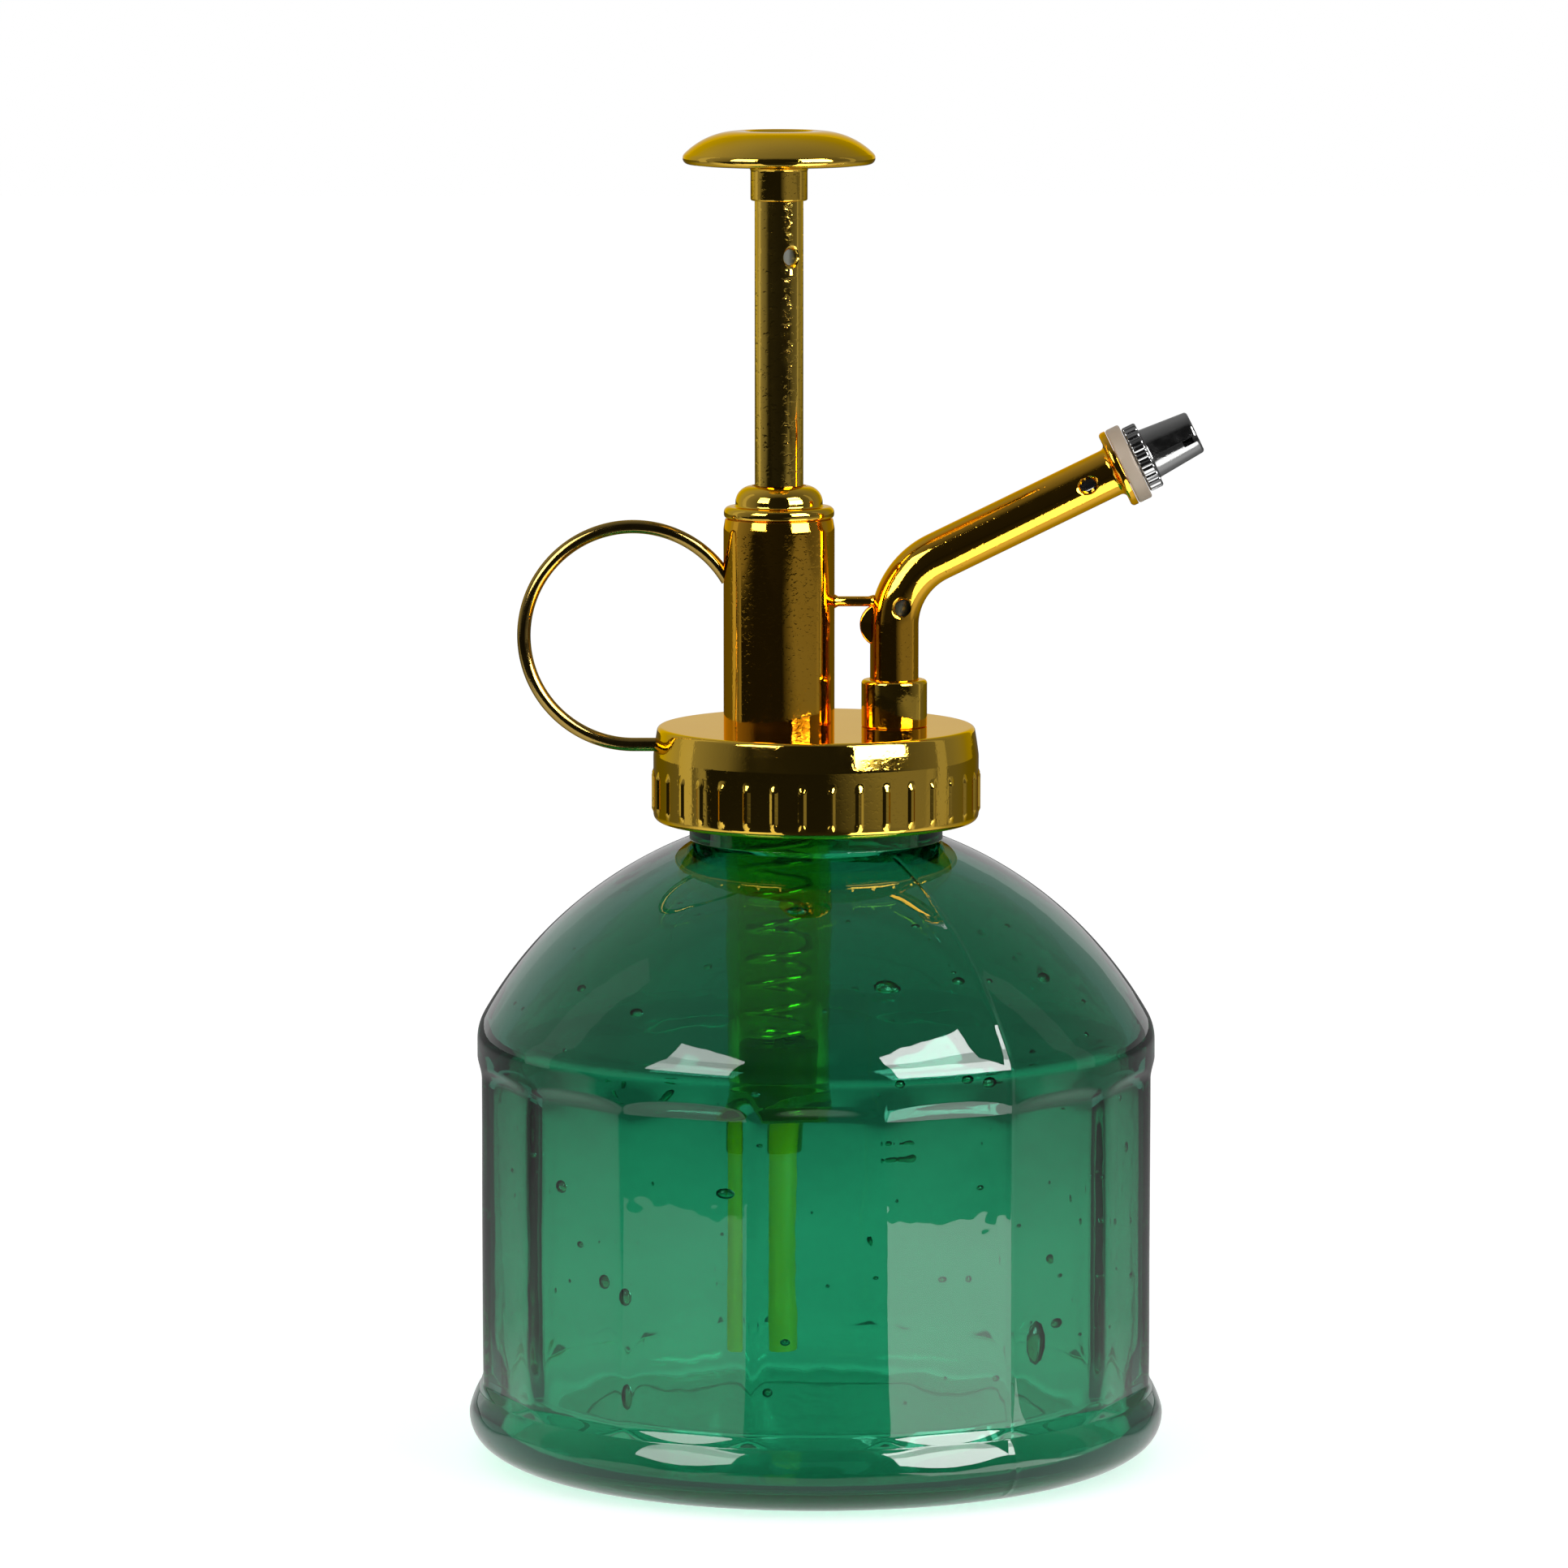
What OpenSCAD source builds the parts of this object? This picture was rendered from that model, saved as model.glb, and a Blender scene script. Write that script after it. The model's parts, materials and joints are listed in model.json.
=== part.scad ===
// Hand mister: a glass bottle with a screwed pump head, a plunger and a bent spout
// Millimetres, +Z up, origin on the bottle's axis at the plane it stands on, spout towards +X

/* [Bottle] */
// Diameter over the round shoulder
bottle_d = 82.7; // [76:0.1:90]
// How far the bulge at the foot stands out of the shoulder
base_bulge = 1.15; // [0.5:0.05:2.5]
// Height of the bulge's widest line, and the radius of its upper flank
base_round = 5; // [3:0.5:7]
// Radius where the bulge curls in under the foot
base_curl = 7.5; // [5:0.1:9]
// Diameter of the hollow under the foot
punt_d = 58; // [40:1:64]
// Height of the hollow under the foot
punt_h = 0.8; // [0.4:0.1:1.6]
// Number of flat panels round the body
panel_count = 16; // [13:1:24]
// Depth of a panel's middle under the shoulder
panel_depth = 0.7; // [0.6:0.05:1.6]
// Height from the bulge's widest line to where the panels bend out
panel_low_gap = 4.5; // [4:0.1:7]
// Lean of the facet between a panel and the bulge
panel_lean = 26; // [20:1:40]
// Height that the panels stop short of the shoulder
panel_high_gap = 1.6; // [1:0.1:4]
// Radius where a panel runs out under the shoulder
panel_end_round = 2.5; // [1.5:0.1:4]
// Height of the shoulder's widest line
shoulder_z = 51.2; // [40:0.1:60]
// Radius of the shoulder
shoulder_round = 6; // [4.5:0.1:9]
// Angle that the shoulder turns through before the dome begins
shoulder_turn = 30; // [20:1:38]
// Rise of the dome from the shoulder's line to the neck
dome_rise = 24.1; // [20:0.1:28]
// Outer diameter of the neck
neck_d = 30.8; // [28:0.1:33]
// Height of the neck above the dome
neck_h = 9.2; // [8.4:0.1:12]
// Bore of the neck
neck_bore_d = 24.8; // [24:0.1:26]
// Glass behind the panels
glass_wall = 3.05; // [1.5:0.05:3.2]
// Glass under the bottle's inside
glass_floor = 3.2; // [2.6:0.1:4.5]

/* [Thread] */
// Rise of the thread in one turn
thread_pitch = 4; // [3.6:0.1:5]
// Turns of the glass thread
thread_turns = 1.25; // [1:0.05:1.4]
// Height of a thread ridge
thread_high = 1.2; // [0.8:0.1:1.4]
// Width of a thread ridge at its root
thread_root = 1.5; // [1:0.1:1.6]
// Width of a thread ridge at its crest
thread_crest = 0.7; // [0.4:0.1:1]

/* [Cap] */
// Diameter of the cap without its ribs
cap_d = 39.6; // [38.8:0.1:44]
// Height of the cap
cap_h = 11.5; // [10:0.1:12.5]
// Thickness of the cap's top
cap_plate = 1.8; // [1.2:0.1:3]
// Radius of the cap's top edge
cap_fillet = 2; // [1:0.1:2.4]
// Radius of the cap's bottom edge
cap_foot_round = 0.9; // [0.4:0.1:1]
// Number of grip ribs
rib_count = 36; // [18:1:44]
// Width of a grip rib
rib_w = 0.8; // [0.6:0.05:1]
// How far a grip rib stands proud
rib_proud = 0.25; // [0.15:0.05:0.35]
// Height of a grip rib
rib_h = 5.2; // [3:0.1:6.5]
// Thickness of the neck gasket
gasket_h = 1; // [0.6:0.1:2]

/* [Pump] */
// Distance from the bottle's axis to the pump's axis, towards the finger ring
pump_offset = 4.5; // [4:0.1:4.8]
// Outer diameter of the pump sleeve
sleeve_d = 13.5; // [13.4:0.1:14]
// Wall of the pump sleeve
sleeve_wall = 0.5; // [0.4:0.05:0.6]
// Height of the pump sleeve above the cap
sleeve_h = 25.3; // [24:0.1:32]
// Depth that the pump sleeve sits in the pump's head
sleeve_seat = 2.6; // [1.5:0.1:2.6]
// Thickness of the head flange that lies on the gasket
flange_h = 2; // [1.5:0.1:3]
// Height of the head's block in the neck
block_h = 5; // [4.6:0.1:6]
// Width of the water channel in the head's block
channel_d = 2.4; // [1.6:0.1:2.6]
// Bore of the pump barrel
barrel_bore_d = 9.8; // [9.4:0.1:10]
// Wall of the barrel inside the sleeve
barrel_wall = 1; // [0.8:0.05:1.1]
// Extra wall of the barrel inside the bottle
barrel_step = 0.3; // [0.1:0.05:0.6]
// Depth of the barrel's end below the cap's top
barrel_low = 46.5; // [42:0.5:52]
// Slot over the barrel's top where the water spills into the sleeve
spill_gap = 1.5; // [1:0.1:2.5]
// Height of the gland cap's flange
gland_flange_h = 1.45; // [1:0.05:2]
// Height of the gland cap's dome
gland_dome_h = 2.5; // [2:0.1:3.2]
// Diameter of the gland cap's dome
gland_dome_d = 10.6; // [10.4:0.1:11.4]
// Depth of the gland cap's spigot in the sleeve
gland_spigot = 4.2; // [4:0.1:5]
// Height of the rod's guide bush
bush_h = 2.1; // [1.5:0.1:2.1]
// Height of the rod's seal
gland_seal_h = 1.8; // [1.2:0.1:1.8]
// Outer diameter of the rod's bush and seal
gland_seal_d = 8.8; // [8:0.1:9.2]

/* [Foot valve and dip tube] */
// Diameter of the valve balls
ball_d = 4; // [3.8:0.1:4.1]
// Hole under a valve ball
valve_hole_d = 2.4; // [2:0.1:2.6]
// Lift of a valve ball
ball_lift = 1; // [0.6:0.1:1.4]
// Thickness of the barrel's bottom under the ball
barrel_floor = 2; // [1.5:0.1:3]
// Thickness of the bars over the foot valve's ball
cage_bar = 0.9; // [0.6:0.1:1.4]
// Outer diameter of the dip tube
dip_d = 4.1; // [3.6:0.1:4.4]
// Bore of the dip tube
dip_bore_d = 2.8; // [2:0.1:2.9]
// Length of the nipple that holds the dip tube
nipple_h = 5.5; // [3:0.1:7]
// Wall of the nipple that holds the dip tube
nipple_wall = 0.6; // [0.4:0.05:1]
// Space between the dip tube and the bottle's inside floor
dip_clear = 9.2; // [3:0.1:12]

/* [Plunger] */
// Outer diameter of the plunger tube
plunger_d = 5.9; // [5.6:0.1:6.2]
// Wall of the plunger tube
plunger_wall = 0.6; // [0.5:0.05:0.7]
// Length of the plunger tube that shows at rest
plunger_show = 34.5; // [24:0.1:36]
// Depth that the plunger tube sits in the knob
plunger_seat = 3; // [2:0.1:3.6]
// Diameter of the locating hole in the plunger tube
plunger_hole_d = 2; // [1:0.1:2.4]
// Distance from the knob's collar down to that hole
plunger_hole_drop = 6.7; // [3:0.1:12]
// Turn of that hole from the front towards the spout
plunger_hole_turn = 32; // [-60:1:60]
// Diameter of the knob's collar
collar_d = 6.9; // [6.8:0.1:8]
// Height of the knob's collar
collar_h = 4; // [4:0.1:6]
// Diameter of the knob
knob_d = 23.3; // [18:0.1:28]
// Radius of the knob's rim
knob_rim_round = 0.75; // [0.5:0.05:1]
// Radius of the knob's crown
knob_crown_round = 9.3; // [8:0.1:10]
// Height of the knob's rim above its collar
knob_lip = 1.15; // [0.9:0.05:2]
// Diameter of the dish in the knob's top
dish_d = 8.4; // [6:0.1:9]
// Depth of the dish in the knob's top
dish_h = 1.1; // [0.6:0.1:1.5]
// Height of the piston's sealing body
piston_h = 3.4; // [3:0.1:5]
// Height of the piston's hub above its sealing body
hub_h = 3.6; // [3.4:0.1:4.2]
// Outer diameter of the piston's hub
hub_d = 7.8; // [7:0.1:8.2]
// Height of the piston's seal
piston_seal_h = 1.7; // [1.2:0.1:2]
// Depth of the piston seal's groove
piston_groove = 1.1; // [0.7:0.1:1.2]
// Outlet ports in the piston's hub
port_d = 1.3; // [0.8:0.1:1.4]

/* [Spring] */
// Wire of the return spring
wire_d = 0.9; // [0.6:0.05:1]
// Mean diameter of the return spring
coil_d = 7.4; // [6.4:0.1:8]
// Coils of the return spring
coil_count = 15; // [8:1:15]

/* [Finger ring] */
// Wire of the finger ring
ring_wire_d = 1.65; // [1.2:0.05:2]
// Diameter of the finger ring at the middle of its wire
ring_d = 26.6; // [24:0.1:30]
// Height of the ring's foot below the cap's top
ring_drop = 2.3; // [2.1:0.1:3.5]
// Straight foot of the ring outside the cap
ring_foot = 2.4; // [1.5:0.1:3.4]
// Depth of the ring's foot in the cap's wall
ring_sink = 1.2; // [0.8:0.1:1.4]

/* [Spout] */
// Distance from the bottle's axis to the spout's axis
spout_offset = 9.5; // [9:0.1:9.9]
// Outer diameter of the spout tube
spout_d = 5.9; // [5.4:0.1:6.4]
// Wall of the spout tube
spout_wall = 0.7; // [0.5:0.05:0.8]
// Height above the cap where the spout begins to bend
spout_rise = 12.3; // [11:0.1:20]
// Radius of the spout's bend
bend_r = 9.3; // [7:0.1:12]
// Slope of the spout's arm above the horizontal
arm_slope = 26; // [15:1:45]
// Length of the spout's arm from the bend to its flange
arm_len = 23.9; // [20:0.1:36]
// Diameter of the flange at the spout's end
spout_flange_d = 9.7; // [9.2:0.1:11]
// Thickness of the flange at the spout's end
spout_flange_h = 0.9; // [0.6:0.1:1.5]
// Radius of the corner between the arm and its flange
spout_flange_fillet = 0.6; // [0.3:0.1:1]
// Diameter of the spout's socket
socket_d = 8; // [7.6:0.1:8.4]
// Height of the spout's socket above the cap
socket_h = 5.7; // [4:0.1:7]
// Diameter of the locating holes in the spout tube
spout_hole_d = 2; // [1:0.1:2.2]
// Distance from the flange back to the arm's locating hole
arm_hole_back = 3.5; // [2.5:0.1:8]
// Radius of the lug on the spout
lug_round = 2.7; // [1.5:0.1:2.8]
// How far the lug stands out of the spout
lug_proud = 1.25; // [0.8:0.05:1.5]
// Thickness of the lug on the spout
lug_w = 1.6; // [1:0.1:2.4]
// Diameter of the pin that stays the spout
stay_d = 1.1; // [0.8:0.05:1.4]
// Height of the stay pin above the cap
stay_rise = 15.2; // [14.8:0.1:15.6]
// Outer diameter of the delivery tube
delivery_d = 3.4; // [3:0.1:3.6]
// Bore of the delivery tube
delivery_bore_d = 2; // [1.4:0.1:2.2]

/* [Nozzle] */
// Thickness of the washer behind the nozzle
washer_h = 1.8; // [1:0.1:3]
// Diameter of the washer behind the nozzle
washer_d = 9.7; // [9:0.1:10.5]
// Diameter of the nozzle's knurled collar
knurl_d = 8.4; // [7.6:0.1:9]
// Height of the nozzle's knurled collar
knurl_h = 1.8; // [1.2:0.1:3]
// Grooves in the nozzle's knurled collar
knurl_count = 26; // [13:1:32]
// Diameter of the nose where it leaves the collar
nose_d = 6.3; // [6:0.1:7]
// Diameter of the nose at its tip
nose_tip_d = 5.3; // [4.8:0.1:6]
// Length of the nozzle's nose
nose_h = 6.2; // [5.4:0.1:8]
// Width of the slot across the nozzle's tip
slot_w = 0.8; // [0.5:0.05:1.2]
// Depth of the slot across the nozzle's tip
slot_h = 2; // [1:0.1:2.2]
// Turn of the slot from the front
slot_turn = 12; // [0:1:90]
// Diameter of the threaded nipple inside the nozzle
nozzle_core_d = 4.4; // [4:0.1:4.5]
// Diameter of the spray hole
spray_hole_d = 0.5; // [0.3:0.05:0.8]

/* [Clearances] */
// Space between faces that seat on each other
seat_gap = 0.05; // [0.02:0.01:0.1]
// Radial space of pieces that are pressed or screwed together
fit_gap = 0.04; // [0.02:0.01:0.06]
// Radial space of pieces that run in each other
run_gap = 0.06; // [0.03:0.01:0.09]
// Radial space of a seal on what it wipes
seal_gap = 0.02; // [0.01:0.01:0.05]
// Space of pieces that pass each other
free_gap = 0.3; // [0.25:0.05:0.35]

/* [Hidden] */
$fn = 64;
cut = 1;
gold = [0.83, 0.65, 0.18];
green_glass = [0.02, 0.42, 0.27, 0.6];
clear_plastic = [0.85, 0.93, 0.85, 0.7];
white_plastic = [0.92, 0.92, 0.9];
rubber_dark = [0.15, 0.15, 0.15];
steel = [0.75, 0.76, 0.78];
tan = [0.76, 0.66, 0.5];

// Bottle
bottle_r = bottle_d / 2;
base_r = bottle_r + base_bulge;
curl_turn = 50;
base_side = (base_round - base_curl * (1 - sin(curl_turn))) / sin(curl_turn);
foot_r = base_r - base_side - (base_curl - base_side) * cos(curl_turn);
neck_r = neck_d / 2;
neck_bore_r = neck_bore_d / 2;
punt_r = punt_d / 2;
neck_foot_flare = 1;
neck_foot_r = neck_r + neck_foot_flare;
dome_top = shoulder_z + dome_rise;
neck_top = dome_top + neck_h;
lip_round = 0.7;
panel_low = base_round + panel_low_gap;
panel_high = shoulder_z - panel_high_gap;
panel_r = bottle_r - panel_depth;
panel_half = 180 / panel_count;
panel_out = base_r + panel_end_round;
panel_w = 2 * panel_out * tan(panel_half);
shoulder_c = [bottle_r - shoulder_round, shoulder_z];
dome_start = shoulder_c + shoulder_round * [cos(shoulder_turn), sin(shoulder_turn)];
dome_end = [neck_foot_r, dome_top];
dome_chord = norm(dome_end - dome_start);
dome_lean = atan2(dome_start[0] - dome_end[0], dome_end[1] - dome_start[1]);
dome_half = dome_lean - shoulder_turn;
dome_r = dome_chord / (2 * sin(dome_half));
dome_c = dome_start - dome_r * [cos(shoulder_turn), sin(shoulder_turn)];
glass_skin = glass_wall + panel_depth;
inner_r = bottle_r - glass_skin;
inner_round_least = 0.5;
inner_round = max(shoulder_round - glass_skin, inner_round_least);
inner_dome_r = dome_r - glass_skin;
inner_foot_round = max(base_round - glass_floor, inner_round_least);
inner_foot_c = [base_r - glass_floor - inner_foot_round, glass_floor + inner_foot_round];
dome_steps = 12;
round_steps = 6;
dome_from = shoulder_turn + dome_half / dome_steps;

// Head
gasket_low = neck_top + seat_gap;
flange_low = gasket_low + gasket_h + seat_gap;
flange_high = flange_low + flange_h;
plate_low = flange_high + seat_gap;
cap_top = plate_low + cap_plate;
cap_low = cap_top - cap_h;
cap_r = cap_d / 2;
thread_r = neck_r + thread_high;
cap_bore_r = thread_r + free_gap + seat_gap;
thread_base = dome_top + neck_foot_flare + thread_root;
thread_step = 15;
thread_fade = 3;
thread_sink = 0.4;
cap_thread_turns = 0.9;
thread_flank_gap = (thread_root + thread_crest) / 2 + free_gap;
cap_thread_base = thread_base + thread_pitch - thread_flank_gap;
flange_r = cap_bore_r - free_gap;
gasket_r = neck_r - seat_gap;
block_r = neck_bore_r - free_gap;
block_low = flange_low - block_h;
channel_z = block_low + block_h / 2;
channel_step = 0.3;
groove_low = channel_z - channel_d / 2 - channel_step;
rib_r = rib_w / 2;
rib_steps = 4;
rib_foot_gap = 0.2;
rib_low = cap_low + cap_foot_round + rib_foot_gap;

// Pump
pump_at = [-pump_offset, 0, 0];
sleeve_r = sleeve_d / 2;
sleeve_bore_r = sleeve_r - sleeve_wall;
sleeve_low = flange_high - sleeve_seat;
sleeve_top = cap_top + sleeve_h;
barrel_bore_r = barrel_bore_d / 2;
barrel_r = barrel_bore_r + barrel_wall;
barrel_wide_r = barrel_r + barrel_step;
barrel_end = cap_top - barrel_low;
spigot_low = sleeve_top - gland_spigot;
barrel_top = spigot_low - spill_gap;
gland_r = sleeve_r - seat_gap;
gland_flange_top = sleeve_top + seat_gap + gland_flange_h;
gland_top = gland_flange_top + gland_dome_h;
gland_dome_r = gland_dome_d / 2;
gland_round = 1.8;
gland_seal_r = gland_seal_d / 2;
gland_bore_r = gland_seal_r + fit_gap;
bush_low = spigot_low + seat_gap;
gland_seal_low = bush_low + bush_h + seat_gap;
gland_seal_top = gland_seal_low + gland_seal_h;

// Foot valve and dip tube
ball_r = ball_d / 2;
valve_hole_r = valve_hole_d / 2;
ball_sit = sqrt(ball_r * ball_r - valve_hole_r * valve_hole_r) + seat_gap;
ball_room_r = ball_r + free_gap;
seat_z = barrel_end + barrel_floor;
inlet_ball_z = seat_z + ball_sit;
cage_bar_low = inlet_ball_z + ball_r + ball_lift + seat_gap;
cage_top = cage_bar_low + cage_bar;
cage_bar_w = 1.2;
cage_r = barrel_bore_r - fit_gap;
dip_r = dip_d / 2;
nipple_bore_r = dip_r + fit_gap;
nipple_r = nipple_bore_r + nipple_wall;
nipple_low = barrel_end - nipple_h;
dip_top = barrel_end - seat_gap;
dip_low = glass_floor + dip_clear;

// Plunger
plunger_r = plunger_d / 2;
plunger_bore_r = plunger_r - plunger_wall;
rod_r = plunger_bore_r - fit_gap;
hub_top = bush_low - free_gap;
hub_r = hub_d / 2;
piston_top = hub_top - hub_h;
piston_low = piston_top - piston_h;
piston_r = barrel_bore_r - run_gap;
groove_r = piston_r - piston_groove;
groove_mid = piston_low + piston_h / 2;
valve_floor = 0.8;
outlet_seat_z = piston_low + valve_floor;
outlet_ball_z = outlet_seat_z + ball_sit;
rod_low = outlet_ball_z + ball_r + ball_lift + seat_gap;
port_count = 4;
port_z = piston_top + port_d / 2 + seat_gap;
plunger_low = hub_top + seat_gap;
collar_low = gland_top + plunger_show;
collar_top = collar_low + collar_h;
collar_r = collar_d / 2;
plunger_top = collar_low + plunger_seat;
knob_r = knob_d / 2;
rim_c = [knob_r - knob_rim_round, collar_top + knob_lip];
rim_turn = 45;
crown_end = 88;
crown_step = (crown_end - rim_turn) / dome_steps;
crown_c = rim_c + (knob_rim_round - knob_crown_round) * [cos(rim_turn), sin(rim_turn)];
knob_top = crown_c[1] + knob_crown_round * sin(crown_end);
dish_round = (dish_d * dish_d / 4 + dish_h * dish_h) / (2 * dish_h);

// Spring: a helix with a straight end square to each seat
spring_low = cage_top + seat_gap;
spring_high = piston_low - seat_gap;
coil_r = coil_d / 2;
coil_rings = 8;
coil_sides = 6;
coil_low = spring_low + wire_d;
coil_high = spring_high - wire_d;
coil_steps = coil_rings * coil_count;
coil_turn = [for (i = [0 : coil_steps]) 360 * i / coil_rings];
coil_path = concat(
    [[0, spring_low]],
    [for (i = [0 : coil_steps]) [coil_turn[i], coil_low + (coil_high - coil_low) * i / coil_steps]],
    [[coil_turn[coil_steps], spring_high]]
);
spring_points = [for (p = coil_path) [coil_r * cos(p[0]), coil_r * sin(p[0]), p[1]]];
spring_self_gap = min([
    for (i = [0 : len(spring_points) - 1])
        for (j = [i + coil_rings - 2 : len(spring_points) - 1])
            norm(spring_points[i] - spring_points[j])
]) - wire_d;
echo(spring_self_gap = spring_self_gap);

// Finger ring
ring_r = ring_d / 2;
ring_wire_r = ring_wire_d / 2;
ring_foot_z = cap_top - ring_drop;
ring_c = [-cap_r - ring_foot, ring_foot_z + ring_r];
ring_meet = -pump_offset - sleeve_bore_r;
ring_end_turn = acos(min((ring_meet - ring_c[0]) / ring_r, 1));

// Spout
spout_at = [spout_offset, 0, 0];
spout_r = spout_d / 2;
spout_bore_r = spout_r - spout_wall;
bend_z = cap_top + spout_rise;
bend_turn = 90 - arm_slope;
corner_run = bend_r * tan(bend_turn / 2);
bend_c = [spout_offset + bend_r, 0, bend_z];
// The arm is drawn a hair thinner than the bend and starts inside it
bend_step = 0.01;
bend_overlap = sqrt(bend_r * bend_step);
flange_at = corner_run + arm_len;
arm_end = flange_at + spout_flange_h;
spout_flange_r = spout_flange_d / 2;
socket_r = socket_d / 2;
socket_bore_r = spout_r + fit_gap;
socket_spigot_step = 0.6;
socket_spigot_r = socket_r - socket_spigot_step;
socket_chamfer = 0.4;
spout_low = cap_top;
stay_z = cap_top + stay_rise;
stay_r = stay_d / 2;
lug_tuck = 0.4;
lug_z = stay_z - stay_r - lug_round + lug_tuck;
lug_x = spout_offset - spout_r - lug_proud + lug_round;
delivery_r = delivery_d / 2;
delivery_bore_r = delivery_bore_d / 2;
delivery_low = channel_z + channel_d / 2 + channel_step;
elbow_hole_rise = 2.3;

// Nozzle, along the spout's arm
washer_at = arm_end + seat_gap;
nozzle_at = washer_at + washer_h + seat_gap;
nose_at = nozzle_at + knurl_h;
tip_at = nose_at + nose_h;
core_r = nozzle_core_d / 2;
nozzle_bore_r = core_r + run_gap;
tip_wall = 1;
nozzle_bore_end = tip_at - slot_h - tip_wall;
core_end = nozzle_bore_end - free_gap;
tail_r = spout_bore_r - fit_gap;
tail_h = 6;
tail_at = arm_end - tail_h;
tube_grip = 3;
delivery_end = tail_at + tube_grip;
insert_h = 1.4;
core_tip_wall = 0.6;
insert_r = core_r - core_tip_wall;
insert_at = core_end - insert_h;
insert_flute_d = 0.7;
insert_flutes = 3;
knurl_groove_r = 0.28;

// Points of an arc in a plane
function arc(c, r, from, to, steps) =
    [for (i = [0 : steps]) let (turn = from + (to - from) * i / steps) c + r * [cos(turn), sin(turn)]];

// Triangles of a tube that is swept through rings of equal size
function tube_faces(rings, sides) = concat(
    [for (k = [1 : sides - 2]) [0, k, k + 1]],
    [for (i = [0 : rings - 2]) for (k = [0 : sides - 1])
        let (n = (k + 1) % sides, a = i * sides, b = a + sides)
        each [[a + k, b + k, b + n], [a + k, b + n, a + n]]],
    [for (k = [1 : sides - 2]) let (a = (rings - 1) * sides) [a, a + k + 1, a + k]]
);

// Share of a thread ridge's height near its faded ends
function fade(i, steps) = min(1, min(i, steps - i) / thread_fade);

// A helical ridge; out is 1 for a ridge on a post and -1 for one in a bore
module thread_ridge(root_r, low, turns, out) {
    steps = round(turns * 360 / thread_step);
    rings = [for (i = [0 : steps])
        let (
            turn = i * thread_step,
            z = low + thread_pitch * turn / 360,
            deep = root_r - out * thread_sink,
            high = root_r + out * (thread_high * fade(i, steps) - thread_sink / 2 * (1 - fade(i, steps))),
            wide = out * thread_root / 2,
            thin = out * thread_crest / 2
        )
        for (p = [[deep, wide], [high, thin], [high, -thin], [deep, -wide]])
            [p[0] * cos(turn), p[0] * sin(turn), z + p[1]]
    ];
    polyhedron(points = rings, faces = tube_faces(steps + 1, 4));
}

// Places children on the spout's arm, at a distance from the corner of its two straight runs
module on_arm(distance) {
    translate(bend_c) rotate([0, bend_turn, 0]) translate([-bend_r, 0, distance - corner_run]) children();
}

// A round bar along the spout: up, round the bend and out along the arm
module spout_bar(r, low, end) {
    translate(spout_at + [0, 0, low]) cylinder(r = r, h = bend_z - low);
    translate(bend_c) rotate([90, 0, 0])
        rotate_extrude(angle = bend_turn, start = 180 - bend_turn) translate([bend_r, 0]) circle(r = r);
    on_arm(corner_run - bend_overlap) cylinder(r = r - bend_step, h = end - corner_run + bend_overlap);
}

// The finger ring's wire at a given thickness
module ring_bar(r) {
    translate([ring_c[0], 0, ring_c[1]]) rotate([90, 0, 0])
        rotate_extrude(angle = 270 - ring_end_turn, start = ring_end_turn)
            translate([ring_r, 0]) circle(r = r);
    translate([ring_c[0], 0, ring_foot_z]) rotate([0, 90, 0]) cylinder(r = r, h = ring_foot + ring_sink);
}

// The wedge that is taken off the round body for one flat panel
module panel_cut() {
    rotate([90, 0, 0]) linear_extrude(height = panel_w, center = true) union() {
        polygon([
            [panel_r, panel_low],
            [panel_out, panel_low - (panel_out - panel_r) / tan(panel_lean)],
            [panel_out, panel_high],
            [panel_r + panel_end_round, panel_high],
            [panel_r, panel_high - panel_end_round]
        ]);
        translate([panel_r + panel_end_round, panel_high - panel_end_round]) circle(r = panel_end_round);
    }
}

module bottle_outside() {
    flank = acos(1 - base_bulge / base_round);
    side_from = -curl_turn * (1 - 1 / round_steps);
    rotate_extrude() polygon(concat(
        [[0, punt_h], [punt_r - punt_h, punt_h], [punt_r, 0]],
        arc([foot_r, base_curl], base_curl, -90, -curl_turn, round_steps),
        arc([base_r - base_side, base_round], base_side, side_from, 0, round_steps - 1),
        arc([base_r - base_round, base_round], base_round, flank / round_steps, flank, round_steps - 1),
        arc(shoulder_c, shoulder_round, 0, shoulder_turn, round_steps),
        arc(dome_c, dome_r, dome_from, shoulder_turn + 2 * dome_half, dome_steps),
        [[neck_r, dome_top + neck_foot_flare]],
        arc([neck_r - lip_round, neck_top - lip_round], lip_round, 0, 90, round_steps),
        [[0, neck_top]]
    ));
}

module bottle_inside() {
    neck_turn = acos((neck_bore_r - dome_c[0]) / inner_dome_r);
    rotate_extrude() polygon(concat(
        [[0, glass_floor]],
        arc(inner_foot_c, inner_foot_round, -90, 0, round_steps),
        [[inner_r, panel_low]],
        arc([inner_r - inner_round, shoulder_z], inner_round, 0, shoulder_turn, round_steps),
        arc(dome_c, inner_dome_r, dome_from, neck_turn, dome_steps),
        [[neck_bore_r, neck_top + cut], [0, neck_top + cut]]
    ));
}

module bottle() {
    color(green_glass) union() {
        difference() {
            bottle_outside();
            for (i = [0 : panel_count - 1])
                rotate([0, 0, 360 / panel_count * i - 90]) panel_cut();
            bottle_inside();
        }
        thread_ridge(neck_r, thread_base, thread_turns, 1);
    }
}

module neck_gasket() {
    color(rubber_dark) translate([0, 0, gasket_low]) difference() {
        cylinder(r = gasket_r, h = gasket_h);
        translate([0, 0, -cut]) cylinder(r = neck_bore_r, h = gasket_h + 2 * cut);
    }
}

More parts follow.
